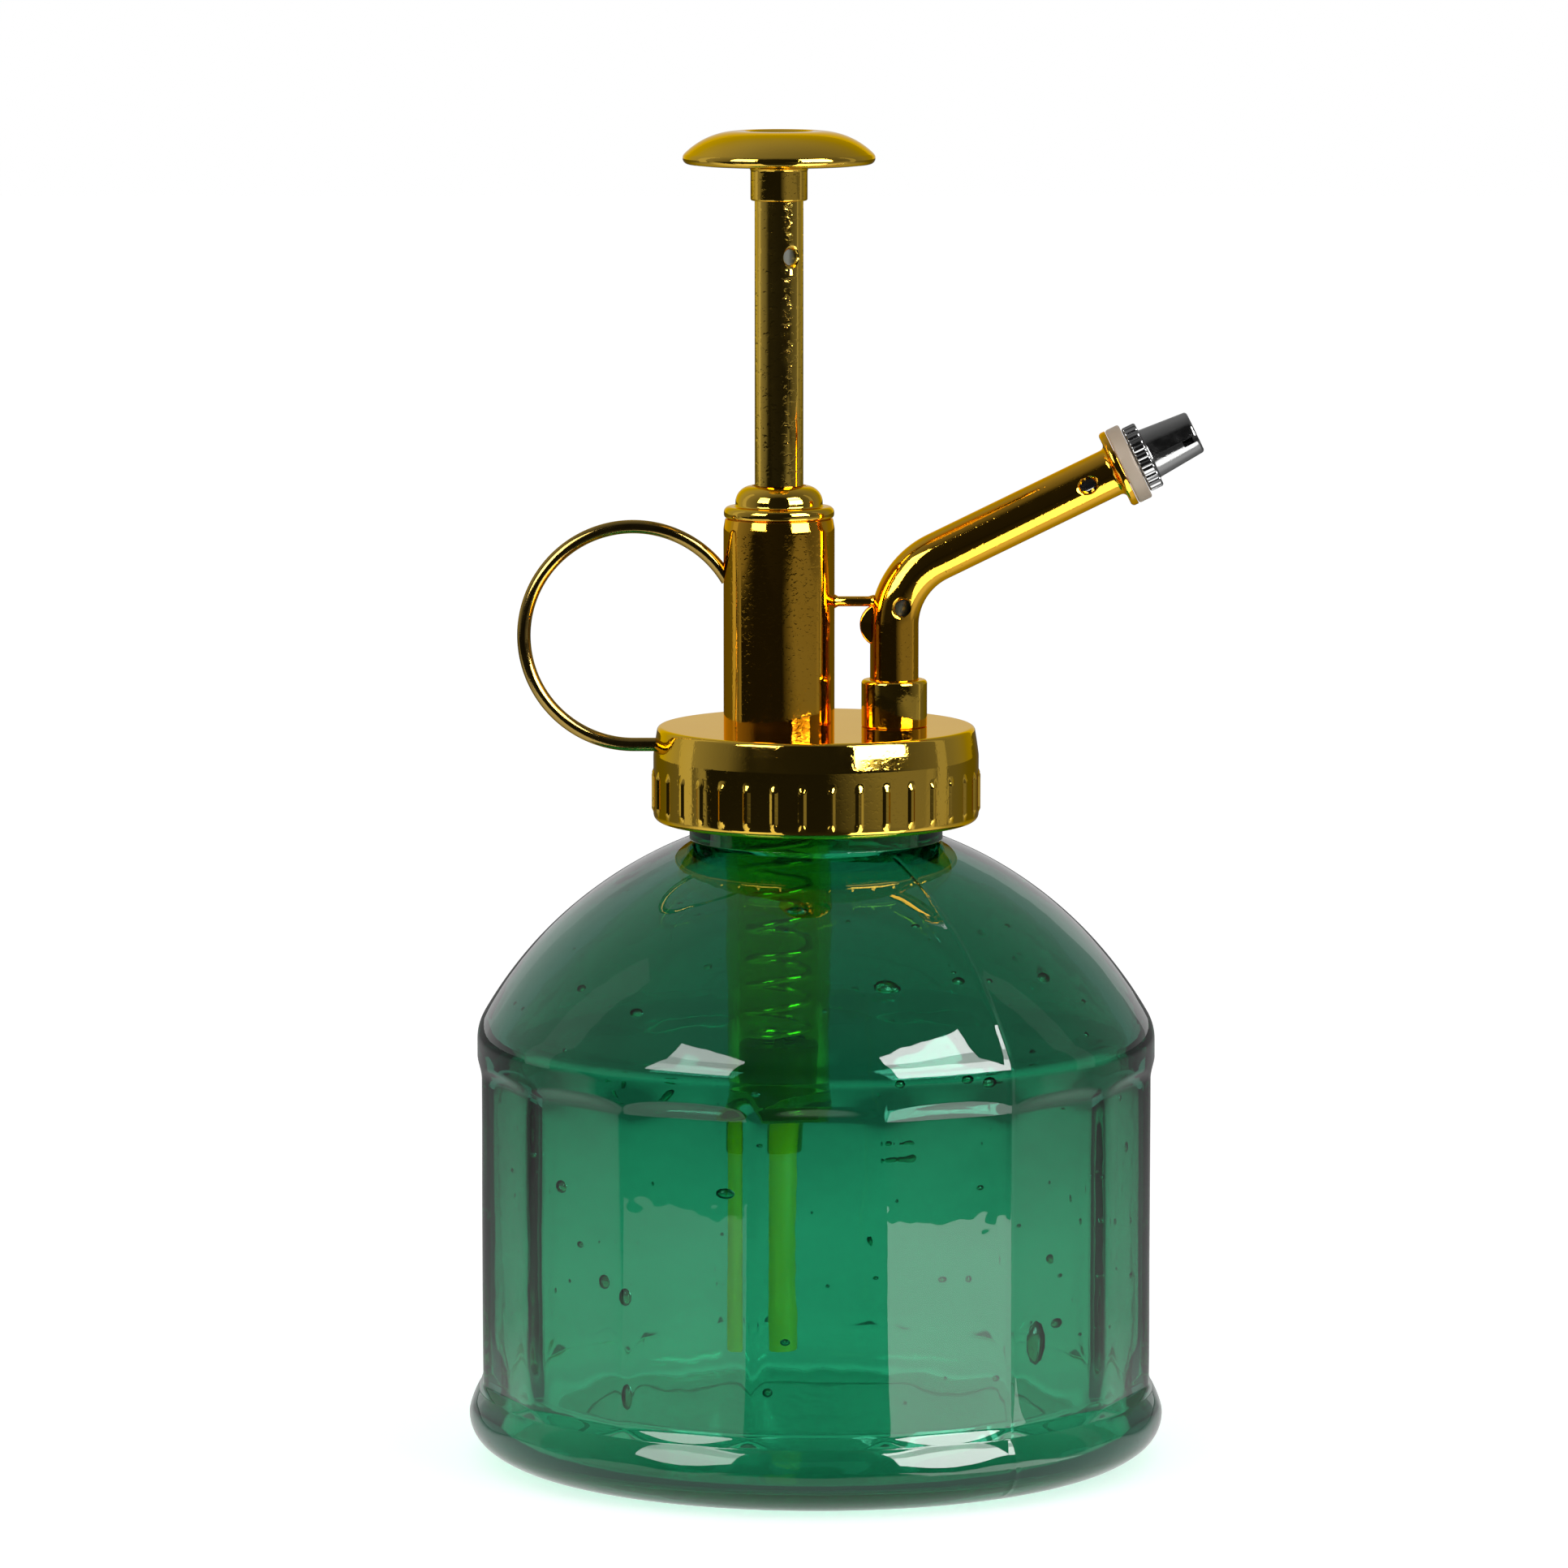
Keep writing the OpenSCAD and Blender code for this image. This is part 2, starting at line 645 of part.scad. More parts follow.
module cap_shell() {
    rotate_extrude() polygon(concat(
        [[0, cap_low]],
        arc([cap_r - cap_foot_round, cap_low + cap_foot_round], cap_foot_round, -90, 0, round_steps),
        arc([cap_r - cap_fillet, cap_top - cap_fillet], cap_fillet, 0, 90, round_steps),
        [[0, cap_top]]
    ));
}

module cap_rib() {
    translate([cap_r + rib_proud - rib_r, 0, rib_low]) rotate_extrude() polygon(concat(
        [[0, 0], [rib_r, 0]],
        arc([0, rib_h - rib_r], rib_r, 0, 90, rib_steps)
    ));
}

module screw_cap() {
    color(gold) union() {
        difference() {
            union() {
                cap_shell();
                for (i = [0 : rib_count - 1])
                    rotate([0, 0, 360 / rib_count * (i + 0.5) - 90]) cap_rib();
            }
            translate([0, 0, cap_low - cut]) cylinder(r = cap_bore_r, h = plate_low - cap_low + cut);
            translate(pump_at + [0, 0, cap_low]) cylinder(r = sleeve_r + fit_gap, h = cap_h + cut);
            translate(spout_at + [0, 0, cap_low]) cylinder(r = socket_spigot_r + fit_gap, h = cap_h + cut);
            ring_bar(ring_wire_r + fit_gap);
        }
        thread_ridge(cap_bore_r, cap_thread_base, cap_thread_turns, -1);
    }
}

module head_block() {
    water_r = sleeve_bore_r + sleeve_wall / 2;
    difference() {
        union() {
            translate([0, 0, flange_low]) cylinder(r = flange_r, h = flange_h);
            translate([0, 0, block_low]) cylinder(r = block_r, h = block_h + cut);
        }
        translate(pump_at + [0, 0, sleeve_low]) cylinder(r = sleeve_r + fit_gap, h = sleeve_seat + cut);
        translate(pump_at + [0, 0, groove_low]) cylinder(r = water_r, h = sleeve_low - groove_low + cut);
        translate([0, 0, channel_z]) rotate([0, 90, 0])
            cylinder(d = channel_d, h = spout_offset + channel_d / 2);
        translate(spout_at + [0, 0, channel_z]) cylinder(r = delivery_bore_r, h = block_h);
        translate(spout_at + [0, 0, delivery_low])
            cylinder(r = delivery_r + fit_gap, h = block_h + flange_h);
    }
}

module pump_barrel() {
    color(clear_plastic) difference() {
        union() {
            head_block();
            translate(pump_at + [0, 0, barrel_end]) {
                cylinder(r = barrel_wide_r, h = groove_low - barrel_end);
                cylinder(r = barrel_r, h = barrel_top - barrel_end);
            }
            translate(pump_at + [0, 0, nipple_low]) cylinder(r = nipple_r, h = nipple_h + barrel_floor);
        }
        translate(pump_at + [0, 0, nipple_low - cut]) cylinder(r = nipple_bore_r, h = nipple_h + cut);
        translate(pump_at + [0, 0, barrel_end - cut])
            cylinder(r = valve_hole_r, h = barrel_floor + 2 * cut);
        translate(pump_at + [0, 0, seat_z]) cylinder(r = barrel_bore_r, h = barrel_top - seat_z + cut);
    }
}

module pump_sleeve() {
    color(gold) difference() {
        translate(pump_at + [0, 0, sleeve_low]) difference() {
            cylinder(r = sleeve_r, h = sleeve_top - sleeve_low);
            translate([0, 0, -cut]) cylinder(r = sleeve_bore_r, h = sleeve_top - sleeve_low + 2 * cut);
        }
        stay_bar(stay_r + fit_gap);
    }
}

module gland_cap() {
    color(gold) translate(pump_at) difference() {
        union() {
            translate([0, 0, spigot_low]) cylinder(r = sleeve_bore_r - fit_gap, h = gland_spigot + cut);
            rotate_extrude() polygon(concat(
                [[0, sleeve_top + seat_gap]],
                [[gland_r, sleeve_top + seat_gap]],
                arc([gland_r - gland_flange_h / 2, gland_flange_top - gland_flange_h / 2],
                    gland_flange_h / 2, 0, 90, round_steps),
                arc([gland_dome_r - gland_round, gland_top - gland_round], gland_round, 0, 90, round_steps),
                [[0, gland_top]]
            ));
        }
        translate([0, 0, spigot_low - cut])
            cylinder(r = gland_bore_r, h = gland_seal_top + seat_gap - spigot_low + cut);
        translate([0, 0, spigot_low]) cylinder(r = plunger_r + free_gap, h = gland_top - spigot_low + cut);
    }
}

module gland_bush() {
    color(white_plastic) translate(pump_at + [0, 0, bush_low]) difference() {
        cylinder(r = gland_seal_r, h = bush_h);
        translate([0, 0, -cut]) cylinder(r = plunger_r + run_gap, h = bush_h + 2 * cut);
    }
}

module gland_seal() {
    color(rubber_dark) translate(pump_at + [0, 0, gland_seal_low]) difference() {
        cylinder(r = gland_seal_r, h = gland_seal_h);
        translate([0, 0, -cut]) cylinder(r = plunger_r + seal_gap, h = gland_seal_h + 2 * cut);
    }
}

module valve_cage() {
    cage_low = seat_z + seat_gap;
    color(white_plastic) translate(pump_at) {
        difference() {
            translate([0, 0, cage_low]) cylinder(r = cage_r, h = cage_top - cage_low);
            translate([0, 0, seat_z]) cylinder(r = ball_room_r, h = cage_top - seat_z + cut);
        }
        for (turn = [0, 90])
            rotate([0, 0, turn]) translate([-cage_r + cage_bar_w / 2, -cage_bar_w / 2, cage_bar_low])
                cube([2 * cage_r - cage_bar_w, cage_bar_w, cage_bar]);
    }
}

module inlet_ball() {
    color(steel) translate(pump_at + [0, 0, inlet_ball_z]) sphere(r = ball_r);
}

module dip_tube() {
    color(clear_plastic) translate(pump_at + [0, 0, dip_low]) difference() {
        cylinder(r = dip_r, h = dip_top - dip_low);
        translate([0, 0, -cut]) cylinder(d = dip_bore_d, h = dip_top - dip_low + 2 * cut);
    }
}

// One ring of wire at a point of the spring, square to its run there
function wire_ring(i) =
    let (
        last = len(spring_points) - 1,
        before = spring_points[max(i - 1, 0)],
        here = spring_points[i],
        after = spring_points[min(i + 1, last)],
        run_in = i == 0 ? [0, 0, 1] : (here - before) / norm(here - before),
        run_out = i == last ? [0, 0, 1] : (after - here) / norm(after - here),
        run = (run_in + run_out) / norm(run_in + run_out),
        side = [cos(coil_path[i][0]), sin(coil_path[i][0]), 0],
        flat = (side - run * (side * run)) / norm(side - run * (side * run)),
        up = cross(run, flat)
    )
    [for (k = [0 : coil_sides - 1])
        here + wire_d / 2 * (flat * cos(360 * k / coil_sides) + up * sin(360 * k / coil_sides))];

module return_spring() {
    rings = [for (i = [0 : len(spring_points) - 1]) each wire_ring(i)];
    color(steel) translate(pump_at)
        polyhedron(points = rings, faces = tube_faces(len(spring_points), coil_sides));
}

module piston() {
    color(white_plastic) translate(pump_at) difference() {
        union() {
            translate([0, 0, piston_low]) cylinder(r = piston_r, h = piston_h);
            translate([0, 0, piston_low]) cylinder(r = hub_r, h = hub_top - piston_low);
        }
        translate([0, 0, groove_mid - piston_seal_h / 2 - seat_gap]) difference() {
            cylinder(r = piston_r + cut, h = piston_seal_h + 2 * seat_gap);
            cylinder(r = groove_r, h = piston_seal_h + 2 * seat_gap);
        }
        translate([0, 0, piston_low - cut]) cylinder(r = valve_hole_r, h = piston_h);
        translate([0, 0, outlet_seat_z]) cylinder(r = max(ball_room_r, rod_r + fit_gap), h = hub_top);
        for (i = [0 : port_count - 1])
            rotate([0, 90, 360 / port_count * (i + 0.5)]) translate([-port_z, 0, 0])
                cylinder(d = port_d, h = hub_r + cut);
    }
}

module piston_seal() {
    color(rubber_dark) translate(pump_at + [0, 0, groove_mid - piston_seal_h / 2]) difference() {
        cylinder(r = barrel_bore_r - seal_gap, h = piston_seal_h);
        translate([0, 0, -cut]) cylinder(r = groove_r + fit_gap, h = piston_seal_h + 2 * cut);
    }
}

module outlet_ball() {
    color(steel) translate(pump_at + [0, 0, outlet_ball_z]) sphere(r = ball_r);
}

module piston_rod() {
    color(white_plastic) translate(pump_at + [0, 0, rod_low])
        cylinder(r = rod_r, h = plunger_top - rod_low);
}

module plunger_tube() {
    color(gold) translate(pump_at) difference() {
        translate([0, 0, plunger_low]) cylinder(r = plunger_r, h = plunger_top - plunger_low);
        translate([0, 0, plunger_low - cut])
            cylinder(r = plunger_bore_r, h = plunger_top - plunger_low + 2 * cut);
        translate([0, 0, collar_low - plunger_hole_drop]) rotate([90, 0, plunger_hole_turn])
            cylinder(d = plunger_hole_d, h = plunger_r + cut);
    }
}

module plunger_knob() {
    color(gold) translate(pump_at) difference() {
        rotate_extrude() polygon(concat(
            [[0, collar_low], [collar_r, collar_low], [collar_r, collar_top]],
            arc(rim_c, knob_rim_round, -90, rim_turn, round_steps),
            arc(crown_c, knob_crown_round, rim_turn + crown_step, crown_end, dome_steps),
            [[0, knob_top]]
        ));
        translate([0, 0, knob_top + dish_round - dish_h]) sphere(r = dish_round);
        translate([0, 0, collar_low - cut])
            cylinder(r = plunger_r + fit_gap, h = plunger_seat + seat_gap + cut);
    }
}

module finger_ring() {
    color(gold) difference() {
        ring_bar(ring_wire_r);
        translate(pump_at + [0, 0, cap_top]) cylinder(r = sleeve_r + seat_gap, h = sleeve_h);
    }
}

module spout_socket() {
    color(gold) translate(spout_at) difference() {
        union() {
            rotate_extrude() polygon([
                [0, cap_top + seat_gap],
                [socket_r, cap_top + seat_gap],
                [socket_r, cap_top + socket_h - socket_chamfer],
                [socket_r - socket_chamfer, cap_top + socket_h],
                [0, cap_top + socket_h],
            ]);
            translate([0, 0, plate_low]) cylinder(r = socket_spigot_r, h = cap_plate + cut);
        }
        translate([0, 0, spout_low]) cylinder(r = socket_bore_r, h = socket_h + cut);
        translate([0, 0, plate_low - cut]) cylinder(r = delivery_r + fit_gap, h = cap_plate + 2 * cut);
    }
}

// The flange at the spout's end, with a round back edge
module spout_flange() {
    edge = spout_flange_h / 2;
    on_arm(flange_at) rotate_extrude() polygon(concat(
        [[0, -spout_flange_fillet]],
        arc([spout_r + spout_flange_fillet, -spout_flange_fillet], spout_flange_fillet, 180, 90, round_steps),
        arc([spout_flange_r - edge, edge], edge, -90, 0, round_steps),
        [[spout_flange_r, spout_flange_h], [0, spout_flange_h]]
    ));
}

module spout_tube() {
    color(gold) difference() {
        union() {
            spout_bar(spout_r, spout_low + seat_gap, arm_end);
            spout_flange();
            translate([lug_x, 0, lug_z]) rotate([90, 0, 0])
                cylinder(r = lug_round, h = lug_w, center = true);
        }
        spout_bar(spout_bore_r, spout_low, arm_end + cut);
        on_arm(flange_at - arm_hole_back) rotate([90, 0, 0]) cylinder(d = spout_hole_d, h = spout_r + cut);
        translate([spout_offset + spout_hole_d / 2, 0, bend_z + elbow_hole_rise])
            rotate([90, 0, 0]) cylinder(d = spout_hole_d, h = spout_r + cut);
        stay_bar(stay_r + fit_gap);
    }
}

// The stay pin at a given thickness, from the sleeve's wall to the spout's
module stay_bar(r) {
    from = -pump_offset + sleeve_bore_r + fit_gap;
    wall_mid = bend_r + spout_r - spout_wall / 2;
    above = max(stay_z - bend_z, 0);
    to = spout_offset + bend_r - sqrt(wall_mid * wall_mid - above * above);
    translate([from, 0, stay_z]) rotate([0, 90, 0]) cylinder(r = r, h = to - from);
}

module spout_stay() {
    color(gold) stay_bar(stay_r);
}

module delivery_tube() {
    color(white_plastic) difference() {
        spout_bar(delivery_r, delivery_low + seat_gap, delivery_end);
        spout_bar(delivery_bore_r, delivery_low - cut, delivery_end + cut);
    }
}

module nozzle_nipple() {
    color(white_plastic) on_arm(0) difference() {
        union() {
            translate([0, 0, tail_at]) cylinder(r = tail_r, h = arm_end - tail_at);
            translate([0, 0, tail_at]) cylinder(r = min(core_r, tail_r), h = core_end - tail_at);
        }
        translate([0, 0, tail_at - cut]) cylinder(r = delivery_r + fit_gap, h = tube_grip + seat_gap + cut);
        translate([0, 0, tail_at]) cylinder(r = delivery_bore_r, h = core_end);
        translate([0, 0, insert_at]) cylinder(r = insert_r + fit_gap, h = insert_h + cut);
    }
}

module swirl_insert() {
    color(white_plastic) on_arm(insert_at + seat_gap) difference() {
        cylinder(r = insert_r, h = insert_h - seat_gap);
        for (i = [0 : insert_flutes - 1])
            rotate([0, 0, 360 / insert_flutes * i]) translate([insert_r, 0, -cut])
                cylinder(d = insert_flute_d, h = insert_h + 2 * cut);
    }
}

module nozzle_washer() {
    color(tan) on_arm(washer_at) difference() {
        cylinder(d = washer_d, h = washer_h);
        translate([0, 0, -cut]) cylinder(r = core_r + fit_gap, h = washer_h + 2 * cut);
    }
}

module nozzle() {
    color(steel) on_arm(nozzle_at) difference() {
        union() {
            cylinder(d = knurl_d, h = knurl_h);
            translate([0, 0, knurl_h]) cylinder(d1 = nose_d, d2 = nose_tip_d, h = nose_h);
        }
        for (i = [0 : knurl_count - 1])
            rotate([0, 0, 360 / knurl_count * i]) translate([knurl_d / 2, 0, -cut])
                cylinder(r = knurl_groove_r, h = knurl_h + 2 * cut);
        translate([0, 0, -cut]) cylinder(r = nozzle_bore_r, h = nozzle_bore_end - nozzle_at + cut);
        cylinder(d = spray_hole_d, h = knurl_h + nose_h);
        rotate([0, 0, slot_turn]) translate([-slot_w / 2, -nose_d, knurl_h + nose_h - slot_h])
            cube([slot_w, 2 * nose_d, slot_h + cut]);
    }
}

bottle();
neck_gasket();
screw_cap();
pump_barrel();
pump_sleeve();
gland_cap();
gland_bush();
gland_seal();
valve_cage();
inlet_ball();
dip_tube();
return_spring();
piston();
piston_seal();
outlet_ball();
piston_rod();
plunger_tube();
plunger_knob();
finger_ring();
spout_socket();
spout_tube();
spout_stay();
delivery_tube();
nozzle_nipple();
swirl_insert();
nozzle_washer();
nozzle();
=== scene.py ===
"""Looks of the hand mister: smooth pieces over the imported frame, finishes, studio and camera."""
import json
import math
import random

import bmesh
import bpy
import numpy as np
from mathutils import Matrix, Vector, noise


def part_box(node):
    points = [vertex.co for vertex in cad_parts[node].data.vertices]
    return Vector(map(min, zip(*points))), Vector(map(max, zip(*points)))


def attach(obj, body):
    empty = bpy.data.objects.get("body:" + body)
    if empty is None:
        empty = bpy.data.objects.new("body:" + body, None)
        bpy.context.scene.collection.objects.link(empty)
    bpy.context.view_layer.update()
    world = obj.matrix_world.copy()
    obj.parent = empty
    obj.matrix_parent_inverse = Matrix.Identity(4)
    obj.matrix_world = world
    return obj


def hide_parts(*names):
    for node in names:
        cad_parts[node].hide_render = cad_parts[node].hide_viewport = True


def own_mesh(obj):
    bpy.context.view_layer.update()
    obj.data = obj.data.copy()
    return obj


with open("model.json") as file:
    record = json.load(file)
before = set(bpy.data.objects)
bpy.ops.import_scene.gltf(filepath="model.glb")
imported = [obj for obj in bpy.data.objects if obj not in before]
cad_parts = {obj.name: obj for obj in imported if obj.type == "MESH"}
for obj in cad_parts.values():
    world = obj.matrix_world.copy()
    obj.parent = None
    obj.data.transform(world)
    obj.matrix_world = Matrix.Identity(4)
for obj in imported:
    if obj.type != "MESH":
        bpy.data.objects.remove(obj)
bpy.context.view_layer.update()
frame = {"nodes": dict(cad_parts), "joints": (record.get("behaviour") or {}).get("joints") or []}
scene = bpy.context.scene
nodes = frame["nodes"]

# Shapes below are in millimetres and become metres when a mesh is made
MM = 0.001


# Outlines

def arc(centre, radius, start, end, steps):
    """Points from one angle to another, in degrees, about a centre."""
    turn = np.radians(np.linspace(start, end, steps + 1))
    return np.array(centre) + np.column_stack((np.cos(turn), np.sin(turn))) * radius


def unit(vector):
    return vector / np.linalg.norm(vector)


def rounded(corners, steps=6, closed=False):
    """An outline through corners (x, y, round), with each corner eased to its round."""
    count = len(corners)
    places = [np.array(corner[:2], float) for corner in corners]
    outline = []
    for i, here in enumerate(places):
        ease = corners[i][2]
        if ease == 0 or (not closed and i in (0, count - 1)):
            outline.append(here)
            continue
        back = unit(places[i - 1] - here)
        ahead = unit(places[(i + 1) % count] - here)
        half = math.acos(float(np.clip(back @ ahead, -1, 1))) / 2
        reach = ease / math.tan(half)
        middle = here + unit(back + ahead) * ease / math.sin(half)
        first = here + back * reach - middle
        last = here + ahead * reach - middle
        start = math.atan2(first[1], first[0])
        turn = (math.atan2(last[1], last[0]) - start + math.pi) % (2 * math.pi) - math.pi
        for step in np.linspace(0, 1, steps + 1):
            angle = start + turn * step
            outline.append(middle + ease * np.array((math.cos(angle), math.sin(angle))))
    return np.array(outline)


def dense(outline, step):
    """The same outline with no stretch longer than step."""
    points = [outline[0]]
    for here, there in zip(outline[:-1], outline[1:]):
        count = max(1, math.ceil(np.linalg.norm(there - here) / step))
        points.extend(here + (there - here) * (i + 1) / count for i in range(count))
    return np.array(points)


def soft_min(a, b, ease):
    """The lesser of a and b, with the change from one to the other rounded off."""
    share = np.clip(0.5 + 0.5 * (b - a) / ease, 0, 1)
    return b + (a - b) * share - ease * share * (1 - share)


def ridge(distance, half_width, flank):
    """One on a ridge's crest, falling to zero over its flank."""
    share = np.clip((half_width - np.abs(distance)) / flank, 0, 1)
    return share * share * (3 - 2 * share)


# Meshes

# Slow bumps begin above the foot and grow over this height, from this least share
WAVE_FROM, WAVE_FADE, WAVE_LEAST = 3, 8, 0.02
# Points closer than this, in metres, are one
SAME_POINT = 1e-7


def all_round(columns):
    """Angles of a round piece's columns, from the front towards +X."""
    return np.linspace(0, 2 * math.pi, columns, endpoint=False)


def lathe(outline, turns, centre=0.0, shift=None, wave=None):
    """Points of an outline (radius, height) turned about a vertical axis at x = centre.

    shift(radius, height, turn) adds to the radius. wave (length, height, seed) adds slow bumps along
    the normal.
    """
    shape = (len(outline), len(turns))
    radius = np.broadcast_to(outline[:, :1], shape)
    height = np.broadcast_to(outline[:, 1:], shape)
    turn = np.broadcast_to(turns, shape)
    if shift:
        radius = radius + shift(radius, height, turn)
    if wave:
        length, rise, seed = wave
        along = np.gradient(outline, axis=0)
        along /= np.maximum(np.linalg.norm(along, axis=1, keepdims=True), 1e-9)
        places = np.stack((radius * np.sin(turn), -radius * np.cos(turn), height), axis=-1).reshape(-1, 3)
        start = Vector((seed, 0, 0))
        rises = np.array([noise.noise(Vector(place) + start) for place in places / length]).reshape(shape)
        rises *= rise * np.clip((height - WAVE_FROM) / WAVE_FADE, WAVE_LEAST, 1)
        radius = np.maximum(radius + rises * along[:, 1:], 0)
        height = height - rises * along[:, :1]
    return np.stack((centre + radius * np.sin(turn), -radius * np.cos(turn), height), axis=-1).reshape(-1, 3)


def ring_faces(rows, columns, closed=False):
    """Quads between rows of points, each row closed on itself."""
    faces = []
    for i in range(rows if closed else rows - 1):
        here = i * columns
        there = (i + 1) % rows * columns
        for j in range(columns):
            k = (j + 1) % columns
            faces.append((here + j, here + k, there + k, there + j))
    return faces


def mesh_piece(name, points, faces, look, sharp=32):
    """A named piece with smooth shading, creased where it turns by more than sharp degrees."""
    mesh = bpy.data.meshes.new(name)
    mesh.from_pydata((np.asarray(points) * MM).tolist(), [], faces)
    shape = bmesh.new()
    shape.from_mesh(mesh)
    bmesh.ops.remove_doubles(shape, verts=shape.verts, dist=SAME_POINT)
    bmesh.ops.recalc_face_normals(shape, faces=shape.faces)
    shape.to_mesh(mesh)
    shape.free()
    piece = bpy.data.objects.new(name, mesh)
    scene.collection.objects.link(piece)
    mesh.materials.append(look)
    crease(piece, sharp)
    return piece


def crease(piece, sharp):
    piece.data.shade_smooth()
    piece.data.set_sharp_from_angle(angle=math.radians(sharp))


def turned(name, outline, look, centre=0.0, columns=128, shift=None, closed=False, sharp=32):
    """A piece turned about a vertical axis. A closed outline is a ring's section."""
    points = lathe(outline, all_round(columns), centre, shift)
    return mesh_piece(name, points, ring_faces(len(outline), columns, closed), look, sharp)


def swept(name, stations, look, columns=64, closed=False, sharp=32):
    """A round piece along stations (point, direction, radius) in the X-Z plane."""
    points = []
    for point, direction, radius in stations:
        side = np.array((-direction[2], 0, direction[0]))
        for turn in all_round(columns):
            points.append(point + radius * (math.cos(turn) * side + math.sin(turn) * np.array((0, 1, 0))))
    faces = ring_faces(len(stations), columns, closed)
    if not closed:
        faces.append(tuple(range(columns)))
        faces.append(tuple(range((len(stations) - 1) * columns, len(stations) * columns)))
    return mesh_piece(name, points, faces, look, sharp)


def moved(piece, matrix):
    """Sets a piece's mesh in place. The matrix is in metres."""
    piece.data.transform(matrix)
    return piece


def joined(name, *pieces, sharp=32):
    """One piece that holds the meshes of several."""
    shape = bmesh.new()
    for piece in pieces:
        shape.from_mesh(piece.data)
    mesh = bpy.data.meshes.new(name)
    shape.to_mesh(mesh)
    shape.free()
    mesh.materials.append(pieces[0].data.materials[0])
    for piece in pieces:
        bpy.data.objects.remove(piece)
    whole = bpy.data.objects.new(name, mesh)
    scene.collection.objects.link(whole)
    crease(whole, sharp)
    return whole


def cut(piece, tool, sharp=32):
    """Takes the tool's solid out of the piece."""
    change = piece.modifiers.new("cut", "BOOLEAN")
    change.operation = "DIFFERENCE"
    change.solver = "EXACT"
    change.object = tool
    mesh = bpy.data.meshes.new_from_object(piece.evaluated_get(bpy.context.evaluated_depsgraph_get()))
    piece.modifiers.clear()
    piece.data = mesh
    bpy.data.objects.remove(tool)
    crease(piece, sharp)


# Outer radius of the plunger tube and the spout, and their locating holes
TUBE_R, HOLE_R, HOLE_LENGTH = 2.95, 1.0, 4
# How much wider a hole gets at steps (from the skin, wider by), and at its outer end
HOLE_RIM, HOLE_FLARE = ((-0.35, 0), (-0.2, 0.12), (0, 0.45)), 1.5


def drill(piece, point, direction=(0, -1, 0)):
    """A locating hole from a point on a tube's axis outwards, eased where it leaves the skin."""
    rim = [(HOLE_R + wider, TUBE_R + rise) for rise, wider in HOLE_RIM]
    outline = np.array(
        [(0, 0), (HOLE_R, 0), *rim, (HOLE_R + HOLE_FLARE, HOLE_LENGTH), (0, HOLE_LENGTH)], float)
    tool = turned("drill", outline, piece.data.materials[0], columns=40)
    turn = Vector((0, 0, 1)).rotation_difference(Vector(direction)).to_matrix().to_4x4()
    cut(piece, moved(tool, Matrix.Translation(Vector(point) * MM) @ turn))


def bore(piece, x, radius, low, high):
    """An upright round hole through the piece."""
    outline = np.array(((0, low), (radius, low), (radius, high), (0, high)), float)
    cut(piece, turned("bore", outline, piece.data.materials[0], x, 96))


# Finishes

def look(name):
    """A new material and its empty node tree."""
    material = bpy.data.materials.new(name)
    material.use_nodes = True
    material.node_tree.nodes.clear()
    return material, material.node_tree


def add(tree, kind, inputs=None, **settings):
    """A node with its settings, and its inputs as values or as links from other nodes' outputs."""
    node = tree.nodes.new(kind)
    for key, value in settings.items():
        setattr(node, key, value)
    for key, value in (inputs or {}).items():
        if isinstance(value, bpy.types.NodeSocket):
            tree.links.new(value, node.inputs[key])
        else:
            node.inputs[key].default_value = value
    return node


def grain(tree, length, detail=2.0, roughness=0.5):
    """Noise with features about length millimetres long, fixed to the piece."""
    place = add(tree, "ShaderNodeTexCoord").outputs["Object"]
    return add(tree, "ShaderNodeTexNoise", {
        "Vector": place, "Scale": 1 / (length * MM), "Detail": detail, "Roughness": roughness,
    }).outputs["Fac"]


def spread(tree, value, low, high, to_low, to_high):
    """A value taken from one range to another."""
    return add(tree, "ShaderNodeMapRange", {
        "Value": value, "From Min": low, "From Max": high, "To Min": to_low, "To Max": to_high,
    }).outputs["Result"]


def two_tone(tree, share, first, second):
    return add(tree, "ShaderNodeMixRGB", {
        "Fac": share, "Color1": (*first, 1), "Color2": (*second, 1),
    }).outputs["Color"]


def times(tree, a, b):
    return add(tree, "ShaderNodeMath", {0: a, 1: b}, operation="MULTIPLY").outputs[0]


def bumps(tree, height, depth, strength=1.0):
    """A bumped normal, with the height's full range depth millimetres deep."""
    return add(tree, "ShaderNodeBump", {
        "Height": height, "Distance": depth * MM, "Strength": strength,
    }).outputs["Normal"]


def output(tree, surface, volume=None):
    links = {"Surface": surface}
    if volume:
        links["Volume"] = volume
    add(tree, "ShaderNodeOutputMaterial", links)


def metal(name, deep, bright, smooth, rough, pit_length, pit_depth):
    """Plated metal: two close tones, uneven polish and fine pits."""
    material, tree = look(name)
    colour = two_tone(tree, grain(tree, 9, 3), deep, bright)
    polish = spread(tree, grain(tree, 1.6, 4), 0.35, 0.65, smooth, rough)
    pits = spread(tree, grain(tree, pit_length, 2), 0.3, 0.45, 0, 1)
    shader = add(tree, "ShaderNodeBsdfPrincipled", {
        "Base Color": colour, "Metallic": 1.0, "Roughness": polish, "Normal": bumps(tree, pits, pit_depth),
        "Specular Tint": (*np.sqrt(deep), 1),
    })
    output(tree, shader.outputs["BSDF"])
    return material


